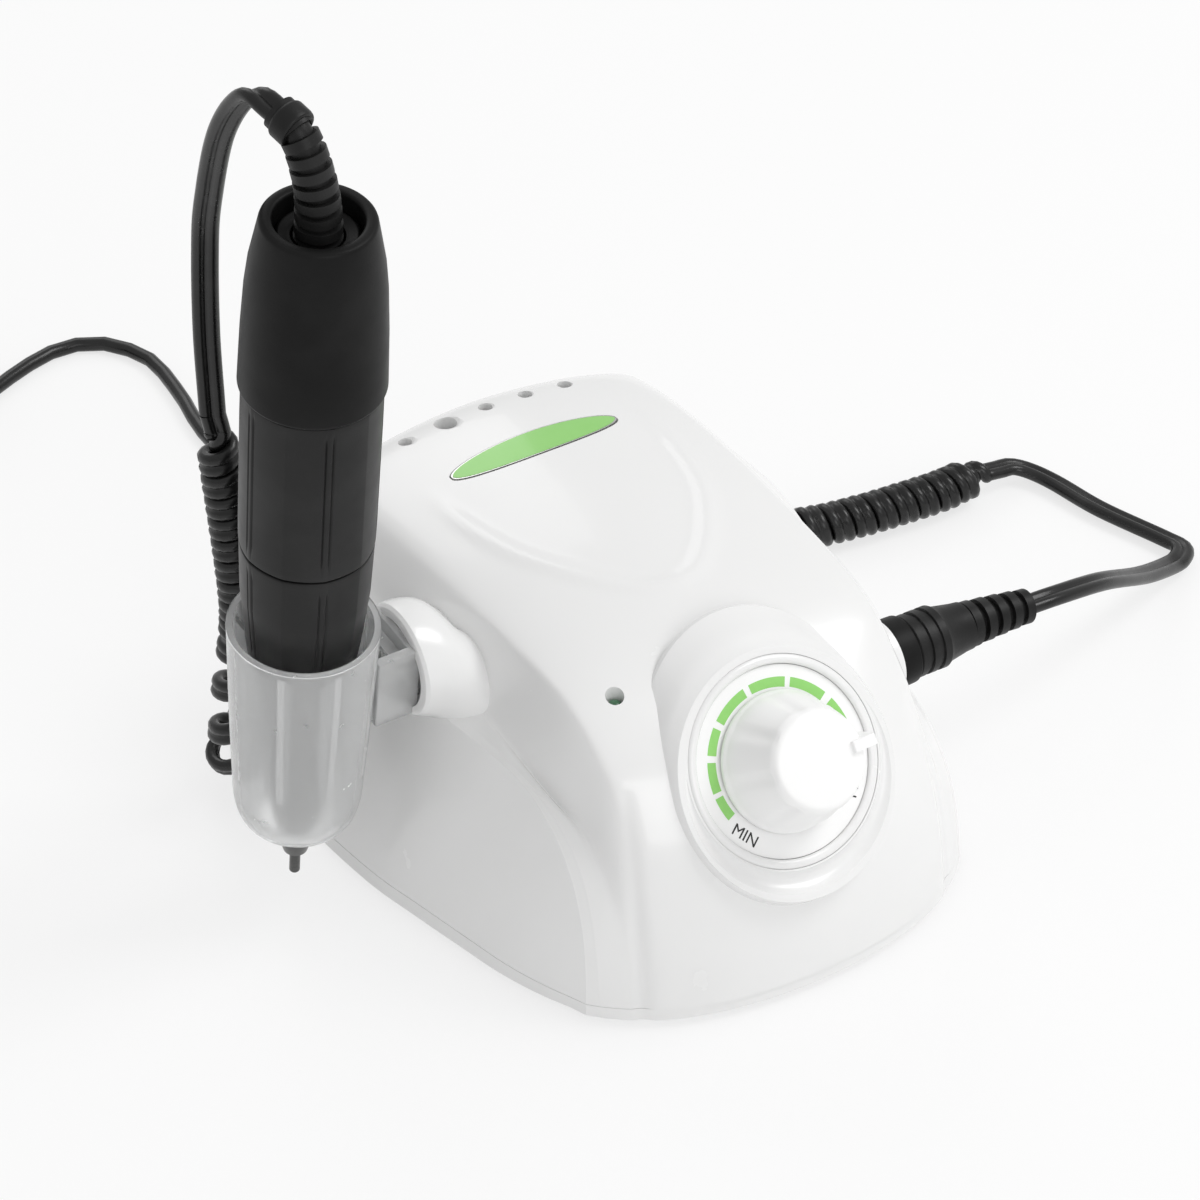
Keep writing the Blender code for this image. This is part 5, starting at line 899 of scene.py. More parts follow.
def lens(name, grow, low, high):
    """The lens outline over the dome, from low to high above it."""
    rings = []
    for k in range(PLATE_STATIONS + 1):
        a = pi * (k + 0.2) / (PLATE_STATIONS + 0.4)
        x = -cos(a) * (PLATE_LENGTH / 2 + grow)
        half = sin(a) ** PLATE_POINTING * PLATE_WIDTH / 2 + grow
        ys = [PLATE_Y - half + 2 * half * i / PLATE_ROWS for i in range(PLATE_ROWS + 1)]
        tops = [(x, y, dome_height(x, y) + high) for y in ys]
        bottoms = [(x, y, dome_height(x, y) + low) for y in reversed(ys)]
        rings.append(tops + bottoms)
    return lofted(name, rings)


steps.append(("DIFFERENCE", lens("plate_recess", CLEAR, -RECESS_DEPTH, 0.004)))
shell_mesh = smoothed(seated(carve(skin, steps)), 28.0)
white_abs = Finish("white_abs", (0.82, 0.82, 0.818), 0.24, coat_weight=0.25, coat_roughness=0.06)
clouds = white_abs.noise(0.045, 3.0)
white_abs.tint(clouds, (0.812, 0.812, 0.808), (0.832, 0.832, 0.830))
white_abs.set("Roughness", 0.20 + white_abs.noise(0.008, 4.0) * 0.10)
white_abs.relief(white_abs.noise(0.0016, 2.0), 0.000004)
shell = link("housing", shell_mesh, white_abs)
weigh = shell.modifiers.new("even_normals", "WEIGHTED_NORMAL")
weigh.keep_sharp = True
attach(shell, "box")
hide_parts("upper_shell")

# Badge: a blank lens-shaped plate of metal, enamelled green inside a bright edge. It is bent to the dome
# and glued into its recess, almost flush.
green_enamel = Finish("green_enamel", (0.262, 0.604, 0.150), 0.30, coat_weight=0.4, coat_roughness=0.08)
green_enamel.tint(green_enamel.noise(0.004, 3.0), (0.245, 0.585, 0.135), (0.285, 0.625, 0.165))
green_enamel.set("Roughness", 0.24 + green_enamel.noise(0.002, 2.0) * 0.14)
badge_edge = link("badge_edge", seated(lens("badge_edge", 0.0, -0.0008, 0.00016)), plated_steel)
badge_face = link("badge_face", seated(lens("badge_face", -0.00028, 0.00004, 0.00024)),
                  green_enamel)
for piece, slot in ((badge_edge, "steel"), (badge_face, "green_enamel")):
    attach(piece, "box")
    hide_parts("name_plate")

# Power lamp: a small green diode, dark while the set is off. Its clear body is pushed into its hole from
# inside, and its round end stays a little below the housing's face.
lamp_green = Finish("lamp_green", (0.020, 0.110, 0.045), 0.14, coat_weight=0.6, coat_roughness=0.03)
lamp_green.tint(lamp_green.noise(0.0012, 2.0), (0.012, 0.075, 0.030), (0.035, 0.160, 0.065))
LAMP_RADIUS = 0.00165
LAMP_SHOULDER = -0.0026
LAMP_DOME = 0.0012
dome = [(LAMP_RADIUS * sin(a), LAMP_SHOULDER + LAMP_DOME * cos(a))
        for a in [pi / 2 * k / 8 for k in range(8, 0, -1)]]
lamp_mesh = turned("lamp", [(0.0, -0.0085), (0.0025, -0.0085), (0.0025, -0.0074), (LAMP_RADIUS, -0.0074)]
                   + dome + [(0.0, LAMP_SHOULDER + LAMP_DOME)], 40)
lamp = link("lamp", seated(lamp_mesh, Matrix.Translation(lamp_top)), lamp_green)
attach(lamp, "box")
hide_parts("power_lamp")

# Base tray: the housing's lower edge, moulded in the same white with a fine parting line, on four rubber
# feet, and held by four screws from below.
tray_steps = [("INTERSECT", slab("tray_part", (0.3, 0.3, 0.1), (0.0, 0.0, PARTING - 0.05)))]
screw_places = [(x, y) for x in (-0.0462, 0.0462) for y in (-0.0350, 0.0300)]
foot_places = [(x, y) for x in (-0.0460, 0.0460) for y in (-0.0220, 0.0500)]
for x, y in screw_places:
    way = turned("screw_way", [(0.0, -0.004), (0.0033, -0.004), (0.0033, 0.0018), (0.0015, 0.0018),
                               (0.0015, 0.006), (0.0, 0.006)], 32)
    way.transform(Matrix.Translation((x, y, FOOT_HEIGHT)))
    tray_steps.append(("DIFFERENCE", way))
tray_mesh = smoothed(seated(carve(skin_solid("tray", 120, 60), tray_steps)), 28.0)
tray = link("tray", tray_mesh, white_abs)
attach(tray, "box")
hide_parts("base_tray")


# Feet and screws: four feet of black rubber, each held by a stem in the tray, and four cross head screws of
# plated steel that join the tray to the housing. A node tree sets copies of one at its points.
def add(tree, kind, links=None, values=None, **settings):
    """A new node of a tree with its settings, its fixed values and its links."""
    node = tree.nodes.new(kind)
    for key, value in settings.items():
        setattr(node, key, value)
    for key, value in (values or {}).items():
        node.inputs[key].default_value = value
    for key, socket in (links or {}).items():
        tree.links.new(socket, node.inputs[key])
    return node


def repeated(name, places, copied, finish, turns):
    """Copies of one mesh at points, turned about Z by an angle each, as one plain mesh."""
    tree = bpy.data.node_groups.new(name + "_tree", "GeometryNodeTree")
    tree.interface.new_socket(name="Points", in_out="INPUT", socket_type="NodeSocketGeometry")
    part = tree.interface.new_socket(name="Part", in_out="INPUT", socket_type="NodeSocketObject")
    tree.interface.new_socket(name="Pieces", in_out="OUTPUT", socket_type="NodeSocketGeometry")
    come = add(tree, "NodeGroupInput")
    info = add(tree, "GeometryNodeObjectInfo", {"Object": come.outputs["Part"]})
    turned_by = add(tree, "GeometryNodeInputNamedAttribute", values={"Name": "turned_by"},
                    data_type="FLOAT_VECTOR")
    euler = add(tree, "FunctionNodeEulerToRotation", {0: turned_by.outputs[0]})
    onto = add(tree, "GeometryNodeInstanceOnPoints", {"Points": come.outputs["Points"],
                                                      "Instance": info.outputs["Geometry"],
                                                      "Rotation": euler.outputs[0]})
    real = add(tree, "GeometryNodeRealizeInstances", {0: onto.outputs[0]})
    paint = add(tree, "GeometryNodeSetMaterial", {0: real.outputs[0]}, {"Material": finish.material})
    add(tree, "NodeGroupOutput", {0: paint.outputs[0]})
    points = bpy.data.meshes.new(name + "_points")
    points.from_pydata([tuple(p) for p in places], [], [])
    spins = points.attributes.new("turned_by", "FLOAT_VECTOR", "POINT")
    for spin, angle in zip(spins.data, turns):
        spin.vector = (0.0, 0.0, angle)
    carrier = link(name + "_carrier", points)
    model = link(name + "_model", copied)
    grow = carrier.modifiers.new("copies", "NODES")
    grow.node_group = tree
    grow[part.identifier] = model
    return link(name, plain_mesh(carrier, model))


def box_points(places, z):
    return [BOX_MIDDLE + Vector((x, y, z)) for x, y in places]


foot_rubber = Finish("foot_rubber", (0.035, 0.035, 0.036), 0.72)
foot_rubber.tint(foot_rubber.noise(0.003, 3.0).smooth(0.5, 0.8), (0.028, 0.028, 0.029),
                 (0.090, 0.088, 0.085))
foot_rubber.set("Roughness", 0.62 + foot_rubber.noise(0.0015, 3.0) * 0.2)
foot_rubber.relief(foot_rubber.noise(0.0004, 2.0), 0.00004)
foot_mesh = turned("foot", eased([(0.0, 0.0), (0.0054, 0.0), (0.0060, 0.0006), (0.0060, 0.0017),
                                  (0.0015, 0.0017), (0.0015, 0.0044), (0.0, 0.0044)], 0.0003), 48)
feet = repeated("feet", box_points(foot_places, 0.0), foot_mesh, foot_rubber, [0.0] * 4)
head_cross = [slab("cross", (0.0034, 0.0007, 0.0016)), slab("cross", (0.0007, 0.0034, 0.0016))]
screw_outline = eased([(0.0, 0.0003), (0.0027, 0.0003), (0.0030, 0.0008), (0.0030, 0.0015),
                       (0.0012, 0.0015), (0.0012, 0.012), (0.0, 0.0132)], 0.0002)
screw_mesh = carve(turned("base_screw", screw_outline, 40), [("DIFFERENCE", c) for c in head_cross])
screws = repeated("base_screws", box_points(screw_places, FOOT_HEIGHT), screw_mesh, plated_steel,
                  [0.3, 1.1, 0.7, 0.1])
for piece, replaced, slot in ((feet, "foot_", "black_rubber"), (screws, "base_screw_", "steel")):
    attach(piece, "box")
    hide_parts(*[f"{replaced}{k}" for k in range(1, 5)])

# Dial: a white printed disc in a slim white bezel. The scale is screen printed in green, in seven bars of
# which the last is drawn to a point, with its ends marked.
DIAL_FACE = 0.0
DIAL_BACK = -0.0012
DIAL_BORE = 0.0048
BEZEL_RISE = 0.0010
disc_mesh = turned("dial_disc", eased([(DIAL_BORE, DIAL_BACK), (DIAL_RADIUS, DIAL_BACK),
                                       (DIAL_RADIUS, DIAL_FACE), (DIAL_BORE, DIAL_FACE)], 0.0001), 96)
bezel_in = DIAL_RADIUS + 0.0001
bezel_out = RIM_RADIUS - 0.00022
bezel_mesh = turned("dial_rim", eased([(bezel_in, DIAL_BACK), (bezel_out, DIAL_BACK), (bezel_out, 0.00055),
                                       (bezel_out - 0.0008, BEZEL_RISE), (bezel_in + 0.0006, BEZEL_RISE),
                                       (bezel_in, 0.0006)], 0.0005), 128)
white_print = Finish("dial_white", (0.93, 0.93, 0.925), 0.30)
white_print.tint(white_print.noise(0.01, 3.0), (0.92, 0.92, 0.915), (0.88, 0.88, 0.878))
white_print.set("Roughness", 0.26 + white_print.noise(0.002, 3.0) * 0.10)
print_green = Finish("print_green", (0.285, 0.640, 0.165), 0.42)
print_green.tint(print_green.noise(0.0012, 3.0), (0.265, 0.615, 0.150), (0.305, 0.665, 0.180))
print_green.set("Roughness", 0.36 + print_green.noise(0.0008, 2.0) * 0.14)
print_black = Finish("print_black", (0.018, 0.018, 0.018), 0.46)
print_black.set("Roughness", 0.40 + print_black.noise(0.0008, 2.0) * 0.16)
disc = link("dial_disc", seated(disc_mesh, DIAL), white_print)
rim = link("dial_rim", seated(bezel_mesh, DIAL), white_abs)
INK = 0.00004
# Each bar of the scale: the angles of its ends in degrees, and its inner radius at the far end.
SCALE_RADIUS = 0.01765
SCALE_INNER_RADIUS = 0.0156
scale_bars = [(-156.0, -173.2, 0.0157), (-176.8, -198.6, 0.0157), (156.5, 137.0, 0.0157),
              (132.0, 102.3, 0.0156), (97.5, 68.4, 0.0155), (64.2, 35.2, 0.0155), (29.0, 10.7, 0.0176)]
BAR_STEPS = 16
bars = bmesh.new()
for first, last, inner in scale_bars:
    lows, highs = [], []
    for k in range(BAR_STEPS + 1):
        a = radians(first + (last - first) * k / BAR_STEPS)
        near = SCALE_INNER_RADIUS + (inner - SCALE_INNER_RADIUS) * k / BAR_STEPS
        for z, rows in ((DIAL_FACE - INK, lows), (DIAL_FACE + INK, highs)):
            rows.append([bars.verts.new((r * cos(a), r * sin(a), z)) for r in (near, SCALE_RADIUS)])
    for k in range(BAR_STEPS):
        for rows in (lows, highs):
            bars.faces.new([rows[k][0], rows[k][1], rows[k + 1][1], rows[k + 1][0]])
        for i in (0, 1):
            bars.faces.new([lows[k][i], lows[k + 1][i], highs[k + 1][i], highs[k][i]])
    for k in (0, BAR_STEPS):
        bars.faces.new([lows[k][0], lows[k][1], highs[k][1], highs[k][0]])
scale_print = link("dial_scale", seated(shaded(bars, "dial_scale"), DIAL), print_green)


def word(name, text, degrees, radius, height):
    """A word on the dial, its foot to the outside."""
    letters = bpy.data.curves.new(name, "FONT")
    letters.body = text
    letters.size = height
    letters.extrude = INK
    letters.align_x = "CENTER"
    mesh = plain_mesh(link(name + "_letters", letters))
    mesh.materials.clear()
    a = radians(degrees)
    mesh.transform(Matrix.Translation((radius * cos(a), radius * sin(a), DIAL_FACE + INK / 2))
                   @ Matrix.Rotation(a + pi / 2, 4, "Z"))
    return link(name, seated(mesh, DIAL), print_black)


low_word = word("dial_word_low", "MIN", -139.8, 0.0189, 0.0036)
high_word = word("dial_word_high", "MAX", -33.0, 0.0187, 0.0034)
for piece, replaced, slot in ((disc, "dial_plate", "white_plastic"), (rim, "dial_bezel", "white_plastic"),
                              (scale_print, "dial_plate", "green_enamel"),
                              (low_word, "dial_plate", "black_plastic"),
                              (high_word, "dial_plate", "black_plastic")):
    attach(piece, "box")
    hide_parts(replaced)

# Speed knob: white ABS, a tapered grip with shallow flutes and a rounded edge above a low skirt. It is
# pressed on the potentiometer's shaft.
KNOB_RADIUS = 0.0150
KNOB_FACE_RADIUS = 0.0108
KNOB_HEIGHT = 0.0165
KNOB_FLUTES = 8
KNOB_FOOT = 0.0006
FLUTE_DEPTH = 0.00055
FLUTE_FOOT = 0.0022
FLUTE_TOP = 0.0162
FLUTE_FADE = 0.003
FLUTED_FROM = 0.0105
knob_outline = eased([(0.0122, KNOB_FOOT), (KNOB_RADIUS, KNOB_FOOT), (KNOB_RADIUS, 0.0016),
                      (KNOB_RADIUS * 0.965, 0.0026), (KNOB_RADIUS * 0.93, 0.0060),
                      (KNOB_FACE_RADIUS * 1.07, 0.0120), (KNOB_FACE_RADIUS * 1.03, 0.0150),
                      (KNOB_FACE_RADIUS * 0.92, KNOB_HEIGHT), (0.0, KNOB_HEIGHT), (0.0, 0.0115),
                      (0.0033, 0.0115), (0.0033, 0.0009), (0.0050, 0.0009), (0.0050, 0.0125),
                      (0.0086, 0.0125)], 0.0011)


def fluted(radius, height, angle):
    """The outer radius with the flutes cut in, which fade out at the foot and at the top."""
    share = (min(1.0, max(0.0, (height - FLUTE_FOOT) / FLUTE_FADE))
             * min(1.0, max(0.0, (FLUTE_TOP - height) / FLUTE_FADE)))
    if radius < FLUTED_FROM:
        share = 0.0
    return radius - FLUTE_DEPTH * share * max(0.0, cos(KNOB_FLUTES * angle)) ** 2


knob_white = Finish("knob_white", (0.92, 0.92, 0.915), 0.34)
knob_white.tint(knob_white.noise(0.012, 3.0), (0.905, 0.905, 0.900), (0.93, 0.93, 0.927))
knob_white.set("Roughness", 0.30 + knob_white.noise(0.0015, 4.0) * 0.14)
knob_white.relief(knob_white.noise(0.0004, 2.0), 0.000008)
# The pointer is a slim ridge across the rim of the knob's face, which runs down its side as a fin.
POINTER_WIDTH = 0.0024
POINTER_TURN = radians(1.0)
pointer_outline = eased([(0.0076, KNOB_HEIGHT - 0.0010), (0.0079, KNOB_HEIGHT + 0.0009),
                         (0.0132, KNOB_HEIGHT + 0.0009), (0.0139, KNOB_HEIGHT - 0.0002),
                         (0.0140, KNOB_HEIGHT - 0.0040), (0.0143, 0.0040), (0.0120, 0.0040),
                         (0.0090, KNOB_HEIGHT - 0.0030)], 0.0004)


def plate(name, outline, thickness):
    """A flat plate of a (radius, height) outline, stood across the Y axis."""
    return lofted(name, [[(r, side * thickness / 2, h) for r, h in outline] for side in (-1, 1)])


pointer = plate("pointer", pointer_outline, POINTER_WIDTH)
pointer.transform(Matrix.Rotation(POINTER_TURN, 4, "Z"))
knob_mesh = smoothed(carve(turned("knob", knob_outline, 144, fluted), [("UNION", pointer)]))
knob = link("knob", seated(knob_mesh, DIAL), knob_white)
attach(knob, "knob")
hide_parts("speed_knob")

# Stand: a cup of clear plastic, frosted by its mould, with ribs inside that hold the handpiece's nose and
# look milkier where they are seen edge on. A stepped bracket joins the cup to a hub, which turns in the ear
# of the housing round a steel screw.
EAR = Matrix.Translation((0.0, EAR_Y, EAR_Z))
HOLDER_X = -0.0785
HOLDER_LEAN = radians(7.8)
CUP_RISE = 0.0208
HOLDER = Matrix.Translation((HOLDER_X, EAR_Y, EAR_Z)) @ Matrix.Rotation(HOLDER_LEAN, 4, "X")
CUP = HOLDER @ Matrix.Translation((0.0, 0.0, CUP_RISE))
CUP_RADIUS = 0.0160
CUP_LENGTH = 0.0560
CUP_WALL = 0.0014
cup_shares = [(1.0, 0.0), (0.994, -0.02), (0.955, -0.29), (0.915, -0.54), (0.872, -0.76), (0.845, -0.865),
              (0.780, -0.935), (0.66, -0.980), (0.50, -1.0)]
cup_outside = [(r * CUP_RADIUS, h * CUP_LENGTH) for r, h in cup_shares]
cup_line = fine_points([Vector(p) for p in cup_outside], 5)
HOLE_RADIUS = cup_shares[-1][0] * CUP_RADIUS
cup_inside = [(p.x - CUP_WALL, p.y * (1 - CUP_WALL / CUP_LENGTH)) for p in cup_line]
cup_inside = [p for p in cup_inside if p[0] > HOLE_RADIUS] + [(HOLE_RADIUS, CUP_WALL - CUP_LENGTH)]
cup_outline = [tuple(p) for p in cup_line] + list(reversed(cup_inside))
cloudy = Finish("cloudy_plastic", (0.93, 0.935, 0.935), 0.20, transmission_weight=0.70, ior=1.36)
frosting = cloudy.noise(0.003, 4.0)
cloudy.set("Roughness", 0.16 + frosting * 0.16)
# The clear plastic's colour is painted lighter where its face turns edge on to the camera: a painted
# highlight along the outline of the cup, the bracket and the hub.
painted_edge_light = cloudy.node("ShaderNodeLayerWeight", sockets={"Blend": 0.35}, output="Facing")
cloudy.tint(painted_edge_light, (0.90, 0.905, 0.905), (0.985, 0.99, 0.99))
cloudy.relief(cloudy.noise(0.0006, 2.0), 0.00001)
cup_mesh = turned("cup", eased(cup_outline, 0.0005), 96)
CUP_RIB_RADIUS = 0.0094
CUP_REST = -0.0084


def cup_wall_radius(height):
    """The radius of the middle of the cup's wall at a height below its rim."""
    heights = [-h for _, h in cup_outside]
    return float(np.interp(-height, heights, [r for r, _ in cup_outside])) - CUP_WALL / 2


RIB_TOP = -0.0016
RIB_FOOT = -0.0395
RIB_THICKNESS = 0.0015
RIB_STEPS = 6
RIB_COUNT = 8
FIRST_RIB = radians(-2.0)
rib_heights = [RIB_TOP + (RIB_FOOT - RIB_TOP) * k / RIB_STEPS for k in range(RIB_STEPS + 1)]
rib_outline = [(cup_wall_radius(h), h) for h in rib_heights]
rib_outline += [(CUP_RIB_RADIUS, RIB_FOOT), (CUP_RIB_RADIUS, CUP_REST)]
rib_mesh = plate("cup_rib", rib_outline, RIB_THICKNESS)
rib_turns = [FIRST_RIB + 2 * pi * k / RIB_COUNT for k in range(RIB_COUNT)]
# The ribs take a whiter, less clear copy of the cup's plastic: painted brightness for how the ribs look when
# seen edge on.
ribs_painted_bright = Finish("ribs_painted_bright_plastic", (0.95, 0.955, 0.955), 0.30, transmission_weight=0.20, ior=1.38)
ribs_painted_bright.set("Roughness", 0.24 + ribs_painted_bright.noise(0.003, 3.0) * 0.14)
ribs = repeated("cup_ribs", [(0.0, 0.0, 0.0)] * RIB_COUNT, rib_mesh, ribs_painted_bright, rib_turns)
ribs.data.transform(SEAT @ CUP)
cup = link("cup", seated(cup_mesh, CUP), cloudy)
# The bracket: a plate against the ear, two arms from it into the cup's wall, and three steps between them.
BRACKET_THICKNESS = 0.0022
BRACKET_WIDTH = 0.0150
BRACKET_HEIGHT = 0.0180
BRACKET_EDGE = 0.0004
BRACKET_WAY = 0.004
ARM_OFFSET = 0.0064
STEP_SPACING = 0.0052
SCREW_WAY_RADIUS = 0.0023
bracket_x = -HOLDER_X - EAR_REACH - CLEAR
wall_x = cup_wall_radius(-CUP_RISE)
reach = bracket_x - wall_x
arms = []
for side in (-1, 1):
    arms.append(("UNION", slab("bracket_arm", (reach, BRACKET_THICKNESS, BRACKET_HEIGHT),
                               (wall_x + reach / 2 - BRACKET_EDGE, side * ARM_OFFSET, 0.0), BRACKET_EDGE)))
for k in range(3):
    arms.append(("UNION", slab("bracket_step", (0.0050 - 0.0012 * k, 0.0120, 0.0010),
                               (bracket_x - 0.0024, 0.0, STEP_SPACING * (1 - k)))))
bracket_way = turned("bracket_way", [(r, bracket_x + side * BRACKET_WAY) for r, side in
                                     ((0.0, -1), (SCREW_WAY_RADIUS, -1), (SCREW_WAY_RADIUS, 1),
                                      (0.0, 1))], 32)
bracket_way.transform(ALONG_X)
bracket_plate = slab("bracket", (BRACKET_THICKNESS, BRACKET_WIDTH, BRACKET_HEIGHT),
                     (bracket_x - BRACKET_THICKNESS / 2, 0.0, 0.0), BRACKET_EDGE)
bracket_mesh = smoothed(carve(bracket_plate, arms + [("DIFFERENCE", bracket_way)]))
bracket_piece = link("cup_bracket", seated(bracket_mesh, HOLDER), cloudy)
# The hub's face has two ring grooves.
HUB_FACE = -EAR_REACH
HUB_GROOVE = HUB_FACE + 0.0010
HUB_BACK = -0.0467
hub_outline = [(SCREW_WAY_RADIUS, HUB_FACE)]
for inner, outer in ((0.0050, 0.0060), (0.0072, 0.0084)):
    hub_outline += [(inner, HUB_FACE), (inner, HUB_GROOVE), (outer, HUB_GROOVE), (outer, HUB_FACE)]
hub_outline = eased(hub_outline + [(0.0098, HUB_FACE), (0.0098, HUB_BACK), (SCREW_WAY_RADIUS, HUB_BACK)],
                    0.0002)
hub_mesh = turned("hub", hub_outline, 96)
hub_mesh.transform(ALONG_X)
hub_mesh.transform(Matrix.Translation((-HOLDER_X, 0.0, 0.0)))
hub = link("hub", seated(hub_mesh, HOLDER), cloudy)
for piece, replaced in ((cup, "holder_cup"), (ribs, "holder_cup"), (bracket_piece, "holder_cup"),
                        (hub, "holder_hub")):
    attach(piece, "holder")
    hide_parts(replaced)
PIVOT_HEAD = -0.0588
pivot_outline = eased([(0.0, PIVOT_HEAD), (0.0034, PIVOT_HEAD), (0.0038, -0.0584), (0.0038, -0.0568),
                       (0.0020, -0.0568), (0.0020, -0.0320), (0.0, -0.0320)], 0.0003)
pivot_slot = slab("pivot_slot", (0.0070, 0.0009, 0.0016), (0.0, 0.0, PIVOT_HEAD))
pivot_mesh = carve(turned("pivot_screw", pivot_outline, 48), [("DIFFERENCE", pivot_slot)])
pivot_mesh.transform(ALONG_X)
pivot_screw = link("pivot_screw", seated(pivot_mesh, EAR), plated_steel)
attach(pivot_screw, "box")
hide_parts("holder_screw")

# Handpiece: black satin plastic over the motor. The cap flares down to a rounded edge; below it the grip
# has pairs of fine grooves with two flat faces between them, and a turning sleeve works the chuck. Its axis
# is the cup's.
HAND = CUP
black_satin = Finish("black_satin", (0.007, 0.007, 0.007), 0.40, specular_ior_level=0.12)
handled = black_satin.noise(0.020, 4.0).smooth(0.35, 0.75)
black_satin.tint(handled, (0.006, 0.006, 0.006), (0.012, 0.012, 0.012))
black_satin.set("Roughness", 0.36 + black_satin.noise(0.006, 4.0) * 0.14)
black_satin.relief(black_satin.noise(0.00035, 2.0), 0.000016)
cap_outline = eased([(0.0089, 0.1070), (0.01145, 0.1070), (0.0134, 0.0965), (0.01402, 0.0905),
                     (0.01455, 0.0800), (0.0148, 0.0705), (0.0149, 0.0664), (0.0144, 0.0657),
                     (0.0126, 0.0657), (0.0126, 0.0900), (0.0112, 0.0953), (0.0112, 0.0993),
                     (0.0089, 0.0993)], 0.0010)
cap = link("rear_cap", seated(turned("rear_cap", cap_outline, 96), HAND), black_satin)
end_outline = eased([(0.0053, 0.0953), (0.0109, 0.0953), (0.0109, 0.0990), (0.0086, 0.0990),
                     (0.0086, 0.1024), (0.0078, 0.1036), (0.0060, 0.1030), (0.0053, 0.1030)], 0.0004)
end_piece = link("end_plate", seated(turned("end_plate", end_outline, 96), HAND), black_satin)
GROOVE_PAIRS = 5
GROOVE_START = radians(-33.0)
GROOVE_OFFSET = 0.00075
GROOVE_WIDTH = 0.00032
GROOVE_DEPTH = 0.00032
GROOVE_FADE = 0.0012
GROOVED_FROM = 0.0120
FLAT_SHARE = 0.22


def grooved(bottom, top):
    """A shape of flat faces between pairs of grooves that fade out at the bottom and the top."""
    def shape(radius, height, angle):
        if radius < GROOVED_FROM:
            return radius
        pitch = 2 * pi / GROOVE_PAIRS
        off = (angle - GROOVE_START + pitch / 2) % pitch - pitch / 2
        facet = abs(off) % (pitch / 2) - pitch / 4
        radius += FLAT_SHARE * (1 / cos(facet) - 1 / cos(pitch / 4)) * radius
        share = min(1.0, max(0.0, (height - bottom) / GROOVE_FADE), max(0.0, (top - height) / GROOVE_FADE))
        away = abs(abs(off) * radius - GROOVE_OFFSET)
        return radius - GROOVE_DEPTH * max(0.0, share) * max(0.0, 1 - away / GROOVE_WIDTH)
    return shape


WALL_STEP = 0.0012


def walled(outline):
    """The outline with its long runs cut into short ones, so that a shape can follow them."""
    out = []
    for (r0, z0), (r1, z1) in zip(outline, outline[1:] + outline[:1]):
        parts = max(1, int(abs(z1 - z0) / WALL_STEP))
        out += [(r0 + (r1 - r0) * k / parts, z0 + (z1 - z0) * k / parts) for k in range(parts)]
    return out


SEAM = 0.0243
SEAM_GAP = 0.0003
GRIP_POINTS = 480
grip_outline = eased([(0.0116, SEAM + SEAM_GAP), (0.0139, SEAM + SEAM_GAP), (0.0140, 0.0290),
                      (0.0142, 0.0560), (0.0142, 0.0654), (0.0123, 0.0654), (0.0123, 0.0750),
                      (0.0116, 0.0750)], 0.0003)
grip = turned("grip", walled(grip_outline), GRIP_POINTS, grooved(0.0270, 0.0635))
sleeve_outline = eased([(0.0092, SEAM - SEAM_GAP), (0.0138, SEAM - SEAM_GAP), (0.01336, 0.01075),
                        (0.0123, 0.0), (0.01133, -0.0072), (0.0110, -0.0080), (0.0092, -0.0080)], 0.0004)
sleeve = turned("sleeve", walled(sleeve_outline), GRIP_POINTS, grooved(-0.0040, 0.0216))
steel_outline = eased([(0.0036, -0.0400), (0.0036, 0.0130), (0.0068, 0.0137), (0.0068, 0.0244),
                       (0.0113, 0.0244), (0.0113, 0.0221), (0.0089, 0.0221), (0.0089, -0.0080),
                       (0.0076, -0.0089), (0.0076, -0.0400), (0.00497, -0.0557), (0.0034, -0.0557),
                       (0.0034, -0.0400)], 0.0003)
turned_steel = Finish("turned_steel", (0.10, 0.10, 0.098), 0.28, 1.0)
rings_in = turned_steel.noise(0.00025, 2.0, turned_steel.stretched((60.0, 60.0, 1.0)))
turned_steel.set("Roughness", 0.20 + rings_in * 0.20)
turned_steel.tint(turned_steel.noise(0.005, 3.0), (0.08, 0.08, 0.078), (0.13, 0.13, 0.128))
turned_steel.relief(rings_in, 0.000008)
nose = link("nose", seated(turned("nose", steel_outline, 64), HAND), turned_steel)
tip_outline = eased([(0.0015, -0.0560), (0.0046, -0.0560), (0.0046, -0.0584), (0.0040, -0.0610),
                     (0.0026, -0.0660), (0.0015, -0.0660)], 0.0004)
tip = link("nose_tip", seated(turned("nose_tip", tip_outline, 64), HAND), turned_steel)
shank_outline = eased([(0.0, -0.0728), (0.0009, -0.0728), (0.001175, -0.0724), (0.001175, -0.0478),
                       (0.0, -0.0478)], 0.0001)
shank = link("shank", seated(turned("shank", shank_outline, 32), HAND), turned_steel)
# The grip and the sleeve have a finish a little lighter and glossier than the cap's.
grip_satin = Finish("grip_satin", (0.014, 0.014, 0.014), 0.40, specular_ior_level=0.22)
grip_mottle = grip_satin.noise(0.016, 4.0).smooth(0.35, 0.75)
grip_satin.tint(grip_mottle, (0.011, 0.011, 0.011), (0.019, 0.019, 0.019))
grip_satin.set("Roughness", 0.34 + grip_satin.noise(0.005, 4.0) * 0.14)
grip_satin.relief(grip_satin.noise(0.00035, 2.0), 0.000012)
grip_piece = link("grip", seated(grip, HAND), grip_satin)
sleeve_piece = link("chuck_grip", seated(sleeve, HAND), grip_satin)
for piece, body, replaced, slot in (
        (cap, "handpiece", "back_cap", "black_plastic"),
        (end_piece, "handpiece", "end_disc", "black_plastic"),
        (grip_piece, "handpiece", "motor_sleeve", "black_plastic"),
        (sleeve_piece, "chuck", "chuck_sleeve", "black_plastic"),
        (nose, "handpiece", "nose_housing", "steel"), (tip, "handpiece", "nose_cap", "steel"),
        (shank, "spindle", "shank_pin", "steel")):
    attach(piece, body)
    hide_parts(replaced)

